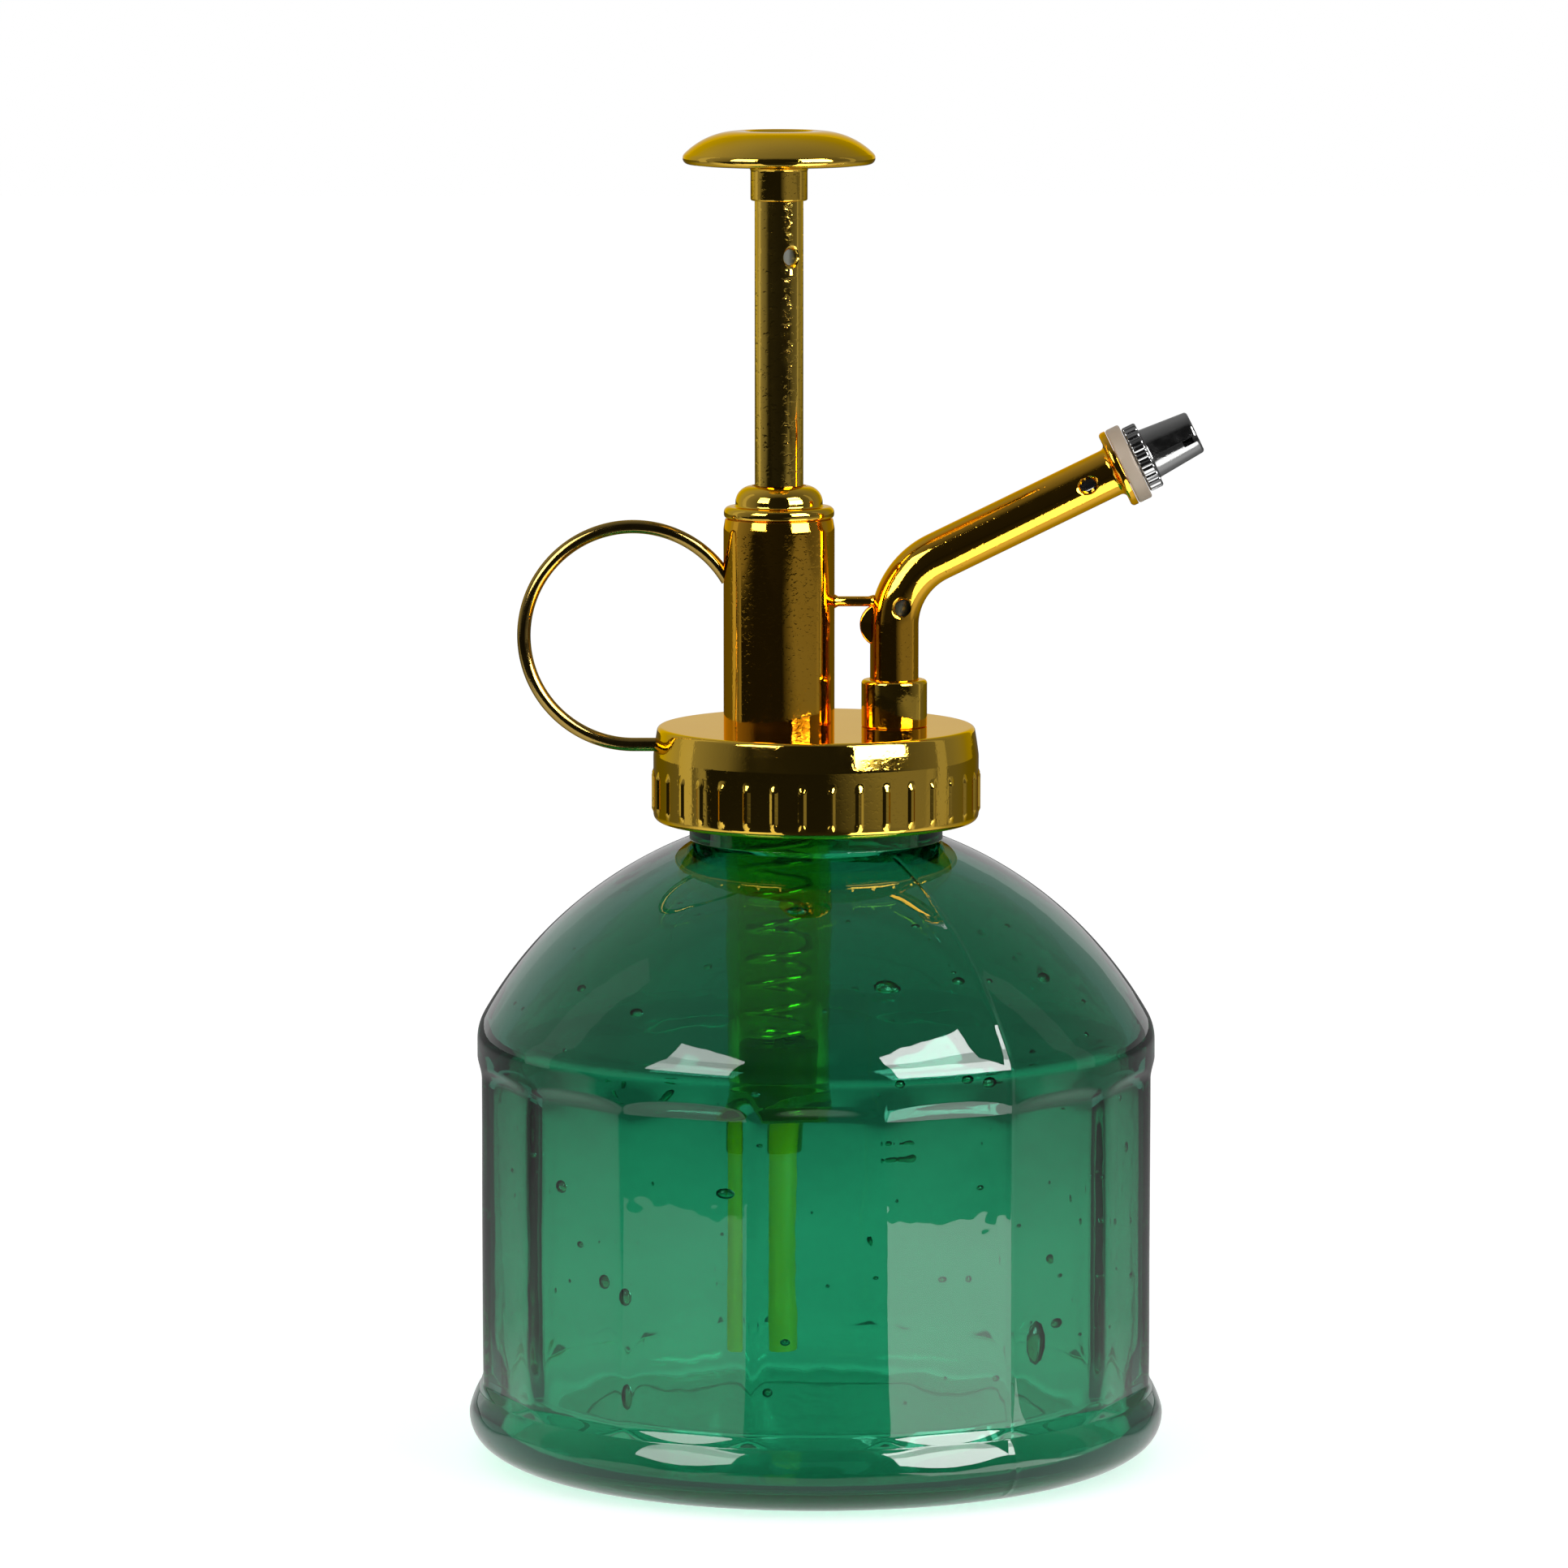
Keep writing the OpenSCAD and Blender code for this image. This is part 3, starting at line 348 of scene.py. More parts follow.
def solid_plastic(name, first, second, roughness):
    """Plain plastic or rubber with a faint cloudiness."""
    material, tree = look(name)
    shader = add(tree, "ShaderNodeBsdfPrincipled", {
        "Base Color": two_tone(tree, grain(tree, 3, 3), first, second),
        "Roughness": roughness,
        "Normal": bumps(tree, grain(tree, 0.5, 2), 0.002),
    })
    output(tree, shader.outputs["BSDF"])
    return material


# Heights and distances, in metres, over which the stipple under the foot ends
STIPPLE_HEIGHT, STIPPLE_REACH = (0.0010, 0.0013), (0.0372, 0.0376)


def underside(tree, roughness):
    """That roughness under the bottle's foot, where the glass is stippled, and none elsewhere."""
    place = add(tree, "ShaderNodeTexCoord").outputs["Object"]
    height = add(tree, "ShaderNodeSeparateXYZ", {"Vector": place}).outputs["Z"]
    away = add(tree, "ShaderNodeVectorMath", {0: place}, operation="LENGTH").outputs["Value"]
    low = spread(tree, height, *STIPPLE_HEIGHT, roughness, 0)
    return times(tree, low, spread(tree, away, *STIPPLE_REACH, 1, 0))


def clear(name, tint, roughness, wave_depth, shadow, absorb=None, through_share=1.0, stipple=0):
    """A clear material that lamps shine through, with slow waves in its surface.

    absorb is the volume's colour and density. What through_share leaves is scattered at the surface,
    and stipple is the roughness under the foot.
    """
    material, tree = look(name)
    polish = spread(tree, grain(tree, 6, 2), 0.35, 0.65, roughness * 0.7, roughness * 1.3)
    if stipple:
        low = underside(tree, stipple)
        polish = add(tree, "ShaderNodeMath", {0: polish, 1: low}, operation="MAXIMUM").outputs[0]
    shader = add(tree, "ShaderNodeBsdfPrincipled", {
        "Base Color": (*tint, 1),
        "Roughness": polish,
        "IOR": 1.5,
        "Transmission Weight": through_share,
        "Normal": bumps(tree, grain(tree, 4, 1), wave_depth),
    })
    through = add(tree, "ShaderNodeBsdfTransparent", {"Color": (*shadow, 1)})
    mixed = add(tree, "ShaderNodeMixShader", {
        "Fac": add(tree, "ShaderNodeLightPath").outputs["Is Shadow Ray"],
        1: shader.outputs["BSDF"],
        2: through.outputs["BSDF"],
    })
    volume = None
    if absorb:
        volume = add(tree, "ShaderNodeVolumeAbsorption", {
            "Color": (*absorb[0], 1), "Density": absorb[1],
        }).outputs["Volume"]
    output(tree, mixed.outputs["Shader"], volume)
    return material


green_glass = clear("green_glass", (0.15, 0.54, 0.38), 0.012, 0.03, (0.85, 1, 0.93),
                    absorb=((0.10, 0.78, 0.66), 100), stipple=0.5)
amber_plastic = clear("amber_plastic", (0.80, 0.86, 0.12), 0.06, 0.03, (0.85, 0.8, 0.3))
straw_plastic = clear("straw_plastic", (1.0, 0.78, 0.2), 0.2, 0.02, (0.9, 0.88, 0.5), through_share=0.5)
gold = metal("gold", (0.84, 0.50, 0.055), (0.90, 0.60, 0.09), 0.03, 0.07, 0.5, 0.003)
deep_gold = metal("deep_gold", (0.84, 0.42, 0.03), (0.88, 0.49, 0.05), 0.03, 0.07, 0.5, 0.003)
pitted_gold = metal("pitted_gold", (0.82, 0.52, 0.07), (0.90, 0.62, 0.12), 0.04, 0.09, 0.7, 0.008)
# The finger ring's gold is a darker copy of the gold: painted shade for the dark front that the thin wire
# mirrors.
shaded_wire_gold = metal("shaded_wire_gold", (0.36, 0.23, 0.05), (0.48, 0.33, 0.09), 0.07, 0.13, 0.4, 0.003)
chrome = metal("chrome", (0.29, 0.29, 0.29), (0.37, 0.37, 0.365), 0.08, 0.16, 0.3, 0.003)
steel = metal("steel", (0.60, 0.60, 0.61), (0.74, 0.74, 0.75), 0.12, 0.22, 0.3, 0.003)
washer_tan = solid_plastic("washer_tan", (0.40, 0.31, 0.22), (0.45, 0.36, 0.27), 0.5)
white_plastic = solid_plastic("white_plastic", (0.74, 0.74, 0.72), (0.82, 0.82, 0.80), 0.4)
# Dark plastic; on the piston rod and delivery tube it is painted shade, since they are seen only inside the
# locating holes.
dark_plastic_and_shade = solid_plastic("dark_plastic_and_shade", (0.03, 0.035, 0.02), (0.05, 0.055, 0.03), 0.35)
dark_rubber = solid_plastic("dark_rubber", (0.02, 0.02, 0.02), (0.035, 0.034, 0.033), 0.6)


def dress(node, material):
    """Gives a CAD node that stays in view its finish."""
    mesh = nodes[node].data
    mesh.materials.clear()
    mesh.materials.append(material)


# The piston rod and delivery tube are painted dark, as the shade inside the locating holes through which they
# are seen.
for node, material in {
    "neck_gasket": dark_rubber, "gland_bush": white_plastic, "gland_seal": dark_rubber,
    "valve_cage": dark_plastic_and_shade, "inlet_ball": steel, "outlet_ball": steel, "piston": white_plastic,
    "piston_seal": dark_rubber, "piston_rod": dark_plastic_and_shade, "delivery_tube": dark_plastic_and_shade,
    "nozzle_nipple": chrome, "swirl_insert": white_plastic,
}.items():
    dress(node, material)


def stand_in(piece, node, body):
    """A smooth piece that takes a CAD node's place and moves with its body."""
    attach(piece, body)
    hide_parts(node)


# Bottle

BASE_R, BASE_ROUND, BASE_CURL, CURL_TURN, BODY_R = 42.5, 5.0, 7.5, 50.0, 41.35
PUNT_R, PUNT_H, PUNT_EASE, FLOOR = 29.0, 0.8, 0.3, 3.2
# Heights (from, to, count) of the body's rows, closer together at the panels' ends
BODY_ROWS = ((8.3, 10.5, 14), (10.9, 46.3, 32), (46.6, 51.0, 24))
SHOULDER_Z, SHOULDER_ROUND, SHOULDER_TURN = 51.2, 6.0, 30.0
DOME_R, DOME_C, DOME_STEP, DOME_END = 49.63, (-2.43, 29.39), 0.6, 68.5
NECK_R, NECK_BORE, NECK_TOP, LIP = 15.4, 12.4, 84.5, 0.7
NECK_FOOT, NECK_LOW, NECK_EASE = (15.76, 75.57), 75.75, 0.12
INNER_R, INNER_SHOULDER, INNER_SHOULDER_STEP, INNER_FOOT = 37.6, 2.25, 5, 3
INNER_NECK, INNER_TOP = (83.0, 73.5), 50.0
WALL = 3.75
PANELS, PANEL_R, PANEL_LOW, PANEL_HIGH, PANEL_EASE = 16, 40.65, 9.5, 49.6, 2.5
PANEL_FROM, PANEL_LEAN = 3, math.tan(math.radians(26))
PANEL_HALF = math.pi / PANELS
EDGE = 0.35
# Flats on the inside: their share, depth and ease, and the heights (start, length) of their fades
FLATS, FLATS_DEEP, FLATS_EASE, FLATS_LOW, FLATS_HIGH = 0.8, 0.62, 0.12, (10, 5), (50, 4)
STREAK_AT, STREAK_W, STREAK_BACK, STREAK_HIGH = math.radians(-12.4), 2.5, 1.7, 0.62
SEAM_AT, SEAM_HALF, SEAM_FLANK, SEAM_HIGH, SEAM_FROM, SEAM_TO = math.radians(33.75), 0.3, 0.2, 0.1, 1, 75
THREAD_LOW, THREAD_PITCH, THREAD_TURNS, THREAD_HIGH = 77.8, 4.0, 1.25, 1.2
THREAD_HALF, THREAD_FLANK, THREAD_FROM, THREAD_FADE = 0.75, 0.45, 76.5, math.radians(40)
# Seeds in the glass: large ones as (turn in degrees, height, size), then how many small ones, where and
# of what size
SEEDS = (
    (14.2, 61.5, (1.5, 1.0, 0.35)), (-5.9, 69.2, (1.4, 0.6, 0.3)), (40.6, 19.0, (1.6, 2.7, 0.6)),
    (-49.7, 37.1, (1.0, 0.8, 0.3)), (-39.0, 26.5, (0.9, 0.9, 0.3)), (-34.3, 13.0, (0.7, 1.6, 0.4)),
    (-34.6, 25.0, (0.8, 1.1, 0.4)),
)
SMALL_SEEDS, SEEDS_LOW, SEEDS_HIGH, SEED_LEAST, SEED_MORE = 130, 12, 71, 0.22, 0.55
SEED_WIDE, SEED_THIN = (0.8, 1.8), 0.6
# How deep in the wall a seed lies, as a share, and half the height over which the wall's slope is taken
SEED_DEPTH, SLOPE_STEP = 0.55, 0.5
# Radius and height above which the outlines are the wall that holds seeds
WALL_OUT, WALL_IN = (16, 6), (12.5, 8)


def bottle_outer():
    """The outside from the middle of the foot to the top of the lip."""
    flank = math.degrees(math.acos((BODY_R - BASE_R + BASE_ROUND) / BASE_ROUND))
    curl = math.radians(CURL_TURN)
    side = (BASE_ROUND - BASE_CURL * (1 - math.sin(curl))) / math.sin(curl)
    foot = BASE_R - side - (BASE_CURL - side) * math.cos(curl)
    heights = np.concatenate([np.linspace(*rows) for rows in BODY_ROWS])
    return np.concatenate((
        dense(rounded((
            (0, PUNT_H, 0), (PUNT_R - PUNT_H, PUNT_H, PUNT_EASE), (PUNT_R, 0, PUNT_EASE),
            (PUNT_R + 1, 0, 0))), 2.0),
        arc((foot, BASE_CURL), BASE_CURL, -90, -CURL_TURN - 1, 24),
        arc((BASE_R - side, BASE_ROUND), side, -CURL_TURN, 0, 24),
        arc((BASE_R - BASE_ROUND, BASE_ROUND), BASE_ROUND, 1, flank, 30),
        np.column_stack((np.full(len(heights), BODY_R), heights)),
        arc((BODY_R - SHOULDER_ROUND, SHOULDER_Z), SHOULDER_ROUND, 0, SHOULDER_TURN, 18),
        arc(DOME_C, DOME_R, SHOULDER_TURN + DOME_STEP, DOME_END, 60),
        dense(rounded((
            (*NECK_FOOT, 0), (NECK_R, NECK_LOW, NECK_EASE), (NECK_R, NECK_TOP, LIP),
            (NECK_BORE + 1, NECK_TOP, 0))), 0.2)[1:],
    ))


def bottle_inner():
    """The inside from the lip down to the middle of the floor."""
    inner_dome = DOME_R - WALL
    bore_turn = math.degrees(math.acos((NECK_BORE - DOME_C[0]) / inner_dome))
    bulge = (BASE_R - BASE_ROUND, BASE_ROUND)
    hollow = BASE_ROUND - FLOOR
    return np.concatenate((
        arc((NECK_BORE + LIP, NECK_TOP - LIP), LIP, 90, 180, 6),
        dense(np.array([(NECK_BORE, height) for height in INNER_NECK]), 0.8),
        arc(DOME_C, inner_dome, bore_turn, SHOULDER_TURN, 60),
        arc((INNER_R - INNER_SHOULDER, SHOULDER_Z), INNER_SHOULDER,
            SHOULDER_TURN - INNER_SHOULDER_STEP, 0, 8),
        dense(rounded((
            (INNER_R, INNER_TOP, 0), (INNER_R, PANEL_LOW, INNER_FOOT),
            (bulge[0] + hollow, bulge[1], 0)), 12)[:-1], 0.9),
        arc(bulge, hollow, 0, -90, 20),
        np.array([(radius, FLOOR) for radius in np.linspace(bulge[0] - 1, 0, 24)]),
    ))


def panel_columns():
    """Angles of the bottle's columns, closer together at the panels' edges."""
    share = np.linspace(-1, 1, 23)[:-1]
    local = PANEL_HALF * (1.5 * share - 0.5 * share ** 3)
    return np.concatenate([local + 2 * PANEL_HALF * i for i in range(PANELS)])


def outer_shift(radius, height, turn):
    """Panels, mould seams and the neck's thread."""
    local = np.abs((turn + PANEL_HALF) % (2 * PANEL_HALF) - PANEL_HALF)
    run_out = np.clip(height - PANEL_HIGH + PANEL_EASE, 0, PANEL_EASE)
    flat = PANEL_R + PANEL_EASE - np.sqrt(PANEL_EASE ** 2 - run_out ** 2)
    flat = flat + np.clip(PANEL_LOW - height, 0, None) * PANEL_LEAN
    face = soft_min(flat / np.cos(local), flat / np.cos(2 * PANEL_HALF - local), EDGE)
    shift = np.where((height > PANEL_FROM) & (height < PANEL_HIGH), soft_min(radius, face, EDGE) - radius, 0)
    off_seam = np.abs((turn - SEAM_AT + math.pi / 2) % math.pi - math.pi / 2) * radius
    seam = (height > SEAM_FROM) * (height < SEAM_TO)
    shift = shift + SEAM_HIGH * ridge(off_seam, SEAM_HALF, SEAM_FLANK) * seam
    from_start = (turn - math.pi / 2) % (2 * math.pi)
    for lap in range(2):
        wound = from_start + 2 * math.pi * lap
        fade = np.clip(np.minimum(wound, 2 * math.pi * THREAD_TURNS - wound) / THREAD_FADE, 0, 1)
        middle = THREAD_LOW + THREAD_PITCH * wound / (2 * math.pi)
        crest = ridge(height - middle, THREAD_HALF, THREAD_FLANK) * (height > THREAD_FROM)
        shift = shift + THREAD_HIGH * fade * crest
    return shift


def inner_shift(radius, height, turn):
    """The flats that the panels leave on the inside, and a thick streak in the glass."""
    local = np.abs((turn + PANEL_HALF) % (2 * PANEL_HALF) - PANEL_HALF)
    low = np.clip((height - FLATS_LOW[0]) / FLATS_LOW[1], 0, 1)
    fade = low * np.clip((FLATS_HIGH[0] - height) / FLATS_HIGH[1], 0, 1)
    flats = FLATS * soft_min(INNER_R / np.cos(local) - INNER_R, np.full_like(local, FLATS_DEEP), FLATS_EASE)
    from_streak = ((turn - STREAK_AT + math.pi) % (2 * math.pi) - math.pi) * INNER_R
    streak = np.minimum(
        np.clip(1 + from_streak / STREAK_W, 0, 1), np.clip(1 - from_streak / STREAK_BACK, 0, 1))
    return fade * (flats - STREAK_HIGH * streak)


def add_bubble(shape, outer, inner, turn, height, size):
    """A seed in the glass: a small hollow with its own wall, size (round, up, through) in millimetres."""
    below, outside, above = np.interp(
        (height - SLOPE_STEP, height, height + SLOPE_STEP), outer[:, 1], outer[:, 0])
    within = np.interp(height, inner[::-1, 1], inner[::-1, 0])
    radius = outside - SEED_DEPTH * (outside - within)
    slope = above - below
    outward = Vector((math.sin(turn), -math.cos(turn), -slope)).normalized()
    sideways = Vector((math.cos(turn), math.sin(turn), 0))
    upward = outward.cross(sideways)
    place = Matrix.Translation(Vector((radius * math.sin(turn), -radius * math.cos(turn), height)) * MM)
    axes = Matrix((sideways * size[0] * MM, upward * size[1] * MM, outward * size[2] * MM))
    axes = axes.transposed().to_4x4()
    ball = bmesh.ops.create_icosphere(shape, subdivisions=2, radius=1.0, matrix=place @ axes)
    faces = {face for vert in ball["verts"] for face in vert.link_faces}
    bmesh.ops.reverse_faces(shape, faces=list(faces))


def make_bottle():
    outer, inner = bottle_outer(), bottle_inner()
    turns = panel_columns()
    points = np.concatenate((
        lathe(outer, turns, shift=outer_shift, wave=(14, 0.06, 3)),
        lathe(inner, turns, shift=inner_shift, wave=(16, 0.2, 11)),
    ))
    shell = mesh_piece("shell", points, ring_faces(len(outer) + len(inner), len(turns)), green_glass)
    wall_out = outer[(outer > WALL_OUT).all(axis=1)]
    wall_in = inner[(inner > WALL_IN).all(axis=1)]
    chance = random.Random(7)
    shape = bmesh.new()
    for turn, height, size in SEEDS:
        add_bubble(shape, wall_out, wall_in, math.radians(turn), height, size)
    for _ in range(SMALL_SEEDS):
        turn = chance.uniform(0, 2 * math.pi)
        height = chance.uniform(SEEDS_LOW, SEEDS_HIGH)
        size = SEED_LEAST + SEED_MORE * chance.random() ** 3
        sizes = (size * chance.uniform(*SEED_WIDE), size, size * SEED_THIN)
        add_bubble(shape, wall_out, wall_in, turn, height, sizes)
    mesh = bpy.data.meshes.new("seeds")
    shape.to_mesh(mesh)
    shape.free()
    return joined("bottle_glass", shell, bpy.data.objects.new("seeds", mesh), sharp=60)


stand_in(make_bottle(), "bottle", "bottle")


# Screw cap

PUMP_X = -4.5
CAP_R, CAP_LOW, CAP_TOP, CAP_FOOT = 19.8, 77.95, 89.45, 0.9
# The wall leans in above CAP_LEAN, through the points (radius, height, round) of CAP_BROW
CAP_LEAN, CAP_BROW = 86.0, ((19.58, 87.6, 8), (19.28, CAP_TOP, 0.55))
CAP_BORE, CAP_PLATE, CAP_EASE, CAP_HOLE = 16.95, 87.65, 0.3, 6.72
RIBS, RIB_HALF, RIB_FLANK, RIB_PROUD, RIB_LOW, RIB_TOP, RIB_END = 36, 0.55, 0.4, 0.25, 79.05, 84.25, 0.5


def cap_shift(radius, height, turn):
    """Grip ribs round the cap's wall."""
    step = 2 * math.pi / RIBS
    across = (turn % step - step / 2) * radius
    along = np.minimum(height - RIB_LOW, RIB_TOP - height)
    rise = ridge(across, RIB_HALF, RIB_FLANK) * np.clip(along / RIB_END, 0, 1)
    return RIB_PROUD * rise * (radius > CAP_BORE + 1)


cap = turned("cap_shell", dense(rounded((
    (0, CAP_PLATE, 0), (CAP_BORE, CAP_PLATE, CAP_EASE), (CAP_BORE, CAP_LOW, CAP_EASE),
    (CAP_R, CAP_LOW, CAP_FOOT), (CAP_R, CAP_LEAN, 3), *CAP_BROW, (0, CAP_TOP, 0)), 12), 0.35),
    gold, columns=RIBS * 20, shift=cap_shift)
bore(cap, PUMP_X, CAP_HOLE, CAP_PLATE - 1, CAP_TOP + 1)
stand_in(cap, "screw_cap", "head")


# Pump column

SLEEVE_R, SLEEVE_BORE, SLEEVE_LOW, SLEEVE_TOP = 6.75, 6.25, 85.0, 114.75
# The sleeve's top is drawn in by this much over this height
SLEEVE_DRAW, SLEEVE_DRAW_H = 0.2, 1.2
GLAND_LOW, GLAND_STEP, GLAND_SEAM, GLAND_FLANGE_TOP, GLAND_TOP = 110.55, 114.6, 114.8, 116.25, 118.75
GLAND_BORE, GLAND_PLUG_R, GLAND_FLANGE_R = 4.44, 6.2, 6.7
GLAND_DOME_R, GLAND_HOLE, GLAND_ROUND = 5.3, 3.25, 2.02
PLUNGER_BORE, PLUNGER_LOW, PLUNGER_TOP = 2.35, 110.35, 156.25
PLUNGER_HOLE_Z, PLUNGER_HOLE_TURN = 146.55, math.radians(32)

sleeve = turned("sleeve", rounded((
    (SLEEVE_BORE, SLEEVE_LOW, 0), (SLEEVE_R, SLEEVE_LOW, 0), (SLEEVE_R, SLEEVE_TOP - SLEEVE_DRAW_H, 3),
    (SLEEVE_R - SLEEVE_DRAW, SLEEVE_TOP, 0.1), (SLEEVE_BORE, SLEEVE_TOP, 0),
)), deep_gold, PUMP_X, closed=True)
stand_in(sleeve, "pump_sleeve", "head")

gland = turned("gland", rounded((
    (GLAND_BORE, GLAND_LOW, 0), (GLAND_PLUG_R, GLAND_LOW, 0), (GLAND_PLUG_R, GLAND_SEAM, 0),
    (GLAND_FLANGE_R, GLAND_SEAM, 0.5), (GLAND_FLANGE_R, GLAND_FLANGE_TOP, 0.7),
    (GLAND_DOME_R, GLAND_FLANGE_TOP, 0.3), (GLAND_DOME_R, GLAND_TOP, GLAND_ROUND),
    (GLAND_HOLE, GLAND_TOP, 0.25), (GLAND_HOLE, GLAND_STEP, 0),
    (GLAND_BORE, GLAND_STEP, 0)), 10, True), gold, PUMP_X, closed=True)
stand_in(gland, "gland_cap", "head")

plunger = turned("plunger", dense(rounded((
    (PLUNGER_BORE, PLUNGER_LOW, 0), (TUBE_R, PLUNGER_LOW, 0.15), (TUBE_R, PLUNGER_TOP, 0.1),
    (PLUNGER_BORE, PLUNGER_TOP, 0))), 1.0), pitted_gold, PUMP_X, columns=96, closed=True)
drill(plunger, (PUMP_X, 0, PLUNGER_HOLE_Z), (math.sin(PLUNGER_HOLE_TURN), -math.cos(PLUNGER_HOLE_TURN), 0))
stand_in(plunger, "plunger_tube", "plunger")

KNOB_LOW, KNOB_COLLAR_TOP, KNOB_COLLAR_R, KNOB_TOP = 153.25, 157.25, 3.45, 161.65
KNOB_BORE, KNOB_SEAT, KNOB_UNDER = 2.99, 156.3, (9.5, 157.5)
KNOB_RIM, KNOB_RIM_ROUND, KNOB_CROWN, KNOB_CROWN_ROUND = (10.9, 158.4), 0.75, (4.854, 152.354), 9.3
DISH_R, DISH_DEEP = 4.2, 1.1
dish_round = (DISH_R ** 2 + DISH_DEEP ** 2) / (2 * DISH_DEEP)
dish_turn = math.degrees(math.asin(DISH_R / dish_round))
knob = turned("knob", np.concatenate((
    rounded(((0, KNOB_SEAT, 0), (KNOB_BORE, KNOB_SEAT, 0), (KNOB_BORE, KNOB_LOW, 0),
             (KNOB_COLLAR_R, KNOB_LOW, 0.25), (KNOB_COLLAR_R, KNOB_COLLAR_TOP, 0.5), (*KNOB_UNDER, 0)), 8),
    arc(KNOB_RIM, KNOB_RIM_ROUND, -90, 44, 14),
    arc(KNOB_CROWN, KNOB_CROWN_ROUND, 45, 87, 24),
    arc((0, KNOB_TOP - DISH_DEEP + dish_round), dish_round, dish_turn - 90, -90, 20),
)), gold, PUMP_X, columns=160, sharp=40)
stand_in(knob, "plunger_knob", "plunger")


# Finger ring

RING_C, RING_R, RING_WIRE, RING_END, RING_FOOT = np.array((-22.2, 0, 100.45)), 13.3, 0.825, 30.6, -18.6


def ring_stations():
    foot = RING_C[2] - RING_R
    for x in np.linspace(RING_FOOT, RING_C[0] - 0.05, 5):
        yield np.array((x, 0, foot)), np.array((-1, 0, 0)), RING_WIRE
    for turn in np.radians(np.linspace(270, RING_END, 120)):
        out = np.array((math.cos(turn), 0, math.sin(turn)))
        yield RING_C + RING_R * out, np.array((out[2], 0, -out[0])), RING_WIRE


ring = swept("ring", list(ring_stations()), shaded_wire_gold, columns=32)
stand_in(ring, "finger_ring", "head")


# Spout

turn_joint = next(joint for joint in frame["joints"] if joint["name"] == "nozzle_turn")
ARM = np.array(turn_joint["axis"], float)
ARM_TURN = math.degrees(math.atan2(ARM[0], ARM[2]))
SPOUT_X, SPOUT_BORE, SPOUT_LOW, BEND_Z, BEND_R = 9.5, 2.25, 89.5, 101.75, 9.3
CORNER = np.array((SPOUT_X, 0, 107.561))
FILLET, FLANGE_AT, FLANGE_R, FLANGE_H, FLANGE_ROUND = 0.6, 29.711, 4.85, 0.9, 0.45
# Where the spout's locating holes are: short of the flange, and beside and above the bend's start
ARM_HOLE, BEND_HOLE = 3.7, (1, 2.3)
# Stations of the spout's path before its fillet, which the bore follows too
BORE_STATIONS = 92
LUG_R, LUG_HALF, LUG_EASE, LUG_AT = 2.7, 0.8, 0.25, (8.0, 0, 101.8)
SOCKET_BORE, SOCKET_FOOT_R, SOCKET_R, SOCKET_LOW, SOCKET_TOP = 2.99, 3.4, 4.0, 87.65, 95.15
STAY_Z, STAY_R = 104.65, 0.62


def on_arm(along):
    """A point on the arm's axis, that far from the corner where it meets the spout's."""
    return CORNER + ARM * along


def spout_path(radius_list):
    """Stations up the spout and along the arm, with the arm's radii given as (along, radius)."""
    up = np.array((0, 0, 1))
    stations = [(np.array((SPOUT_X, 0, z)), up, TUBE_R) for z in np.linspace(SPOUT_LOW, BEND_Z, 14)]
    middle = np.array((SPOUT_X + BEND_R, 0, BEND_Z))
    for turn in np.radians(np.linspace(0, ARM_TURN, 40))[1:]:
        out = np.array((-math.cos(turn), 0, math.sin(turn)))
        stations.append((middle + BEND_R * out, np.array((math.sin(turn), 0, math.cos(turn))), TUBE_R))
    stations += [(on_arm(along), ARM, radius) for along, radius in radius_list]
    return stations


bend_end = BEND_R * math.tan(math.radians(ARM_TURN / 2))
arm_outline = [(along, TUBE_R) for along in np.linspace(bend_end + 0.5, FLANGE_AT - FILLET - 0.2, 40)]
arm_outline += [(FLANGE_AT - FILLET + FILLET * math.sin(turn), TUBE_R + FILLET * (1 - math.cos(turn)))
                for turn in np.radians(np.linspace(0, 88, 10))]
arm_outline += [tuple(point) for point in rounded((
    (FLANGE_AT, TUBE_R + FILLET + 0.05, 0), (FLANGE_AT, FLANGE_R, FLANGE_ROUND),
    (FLANGE_AT + FLANGE_H, FLANGE_R, 0.1), (FLANGE_AT + FLANGE_H, SPOUT_BORE, 0)), 8)]
outer_path = spout_path(arm_outline)
inner_path = [(point, direction, SPOUT_BORE) for point, direction, _ in reversed(outer_path[:BORE_STATIONS])]
spout_shell = swept("spout_shell", outer_path + inner_path, deep_gold, columns=72, closed=True)
drill(spout_shell, on_arm(FLANGE_AT - ARM_HOLE))
drill(spout_shell, (SPOUT_X + BEND_HOLE[0], 0, BEND_Z + BEND_HOLE[1]))
lug = turned("lug", rounded((
    (0, -LUG_HALF, 0), (LUG_R, -LUG_HALF, LUG_EASE), (LUG_R, LUG_HALF, LUG_EASE), (0, LUG_HALF, 0))),
    deep_gold, columns=72)
moved(lug, Matrix.Translation(Vector(LUG_AT) * MM) @ Matrix.Rotation(math.pi / 2, 4, "X"))
spout = joined("spout", spout_shell, lug)
stand_in(spout, "spout_tube", "head")

socket = turned("socket", rounded((
    (SOCKET_BORE, SOCKET_LOW, 0), (SOCKET_FOOT_R, SOCKET_LOW, 0), (SOCKET_FOOT_R, SPOUT_LOW, 0),
    (SOCKET_R, SPOUT_LOW, 0.1), (SOCKET_R, SOCKET_TOP, 0.45), (SOCKET_BORE, SOCKET_TOP, 0.1),
    ), 8, True), gold, SPOUT_X, closed=True)
stand_in(socket, "spout_socket", "head")

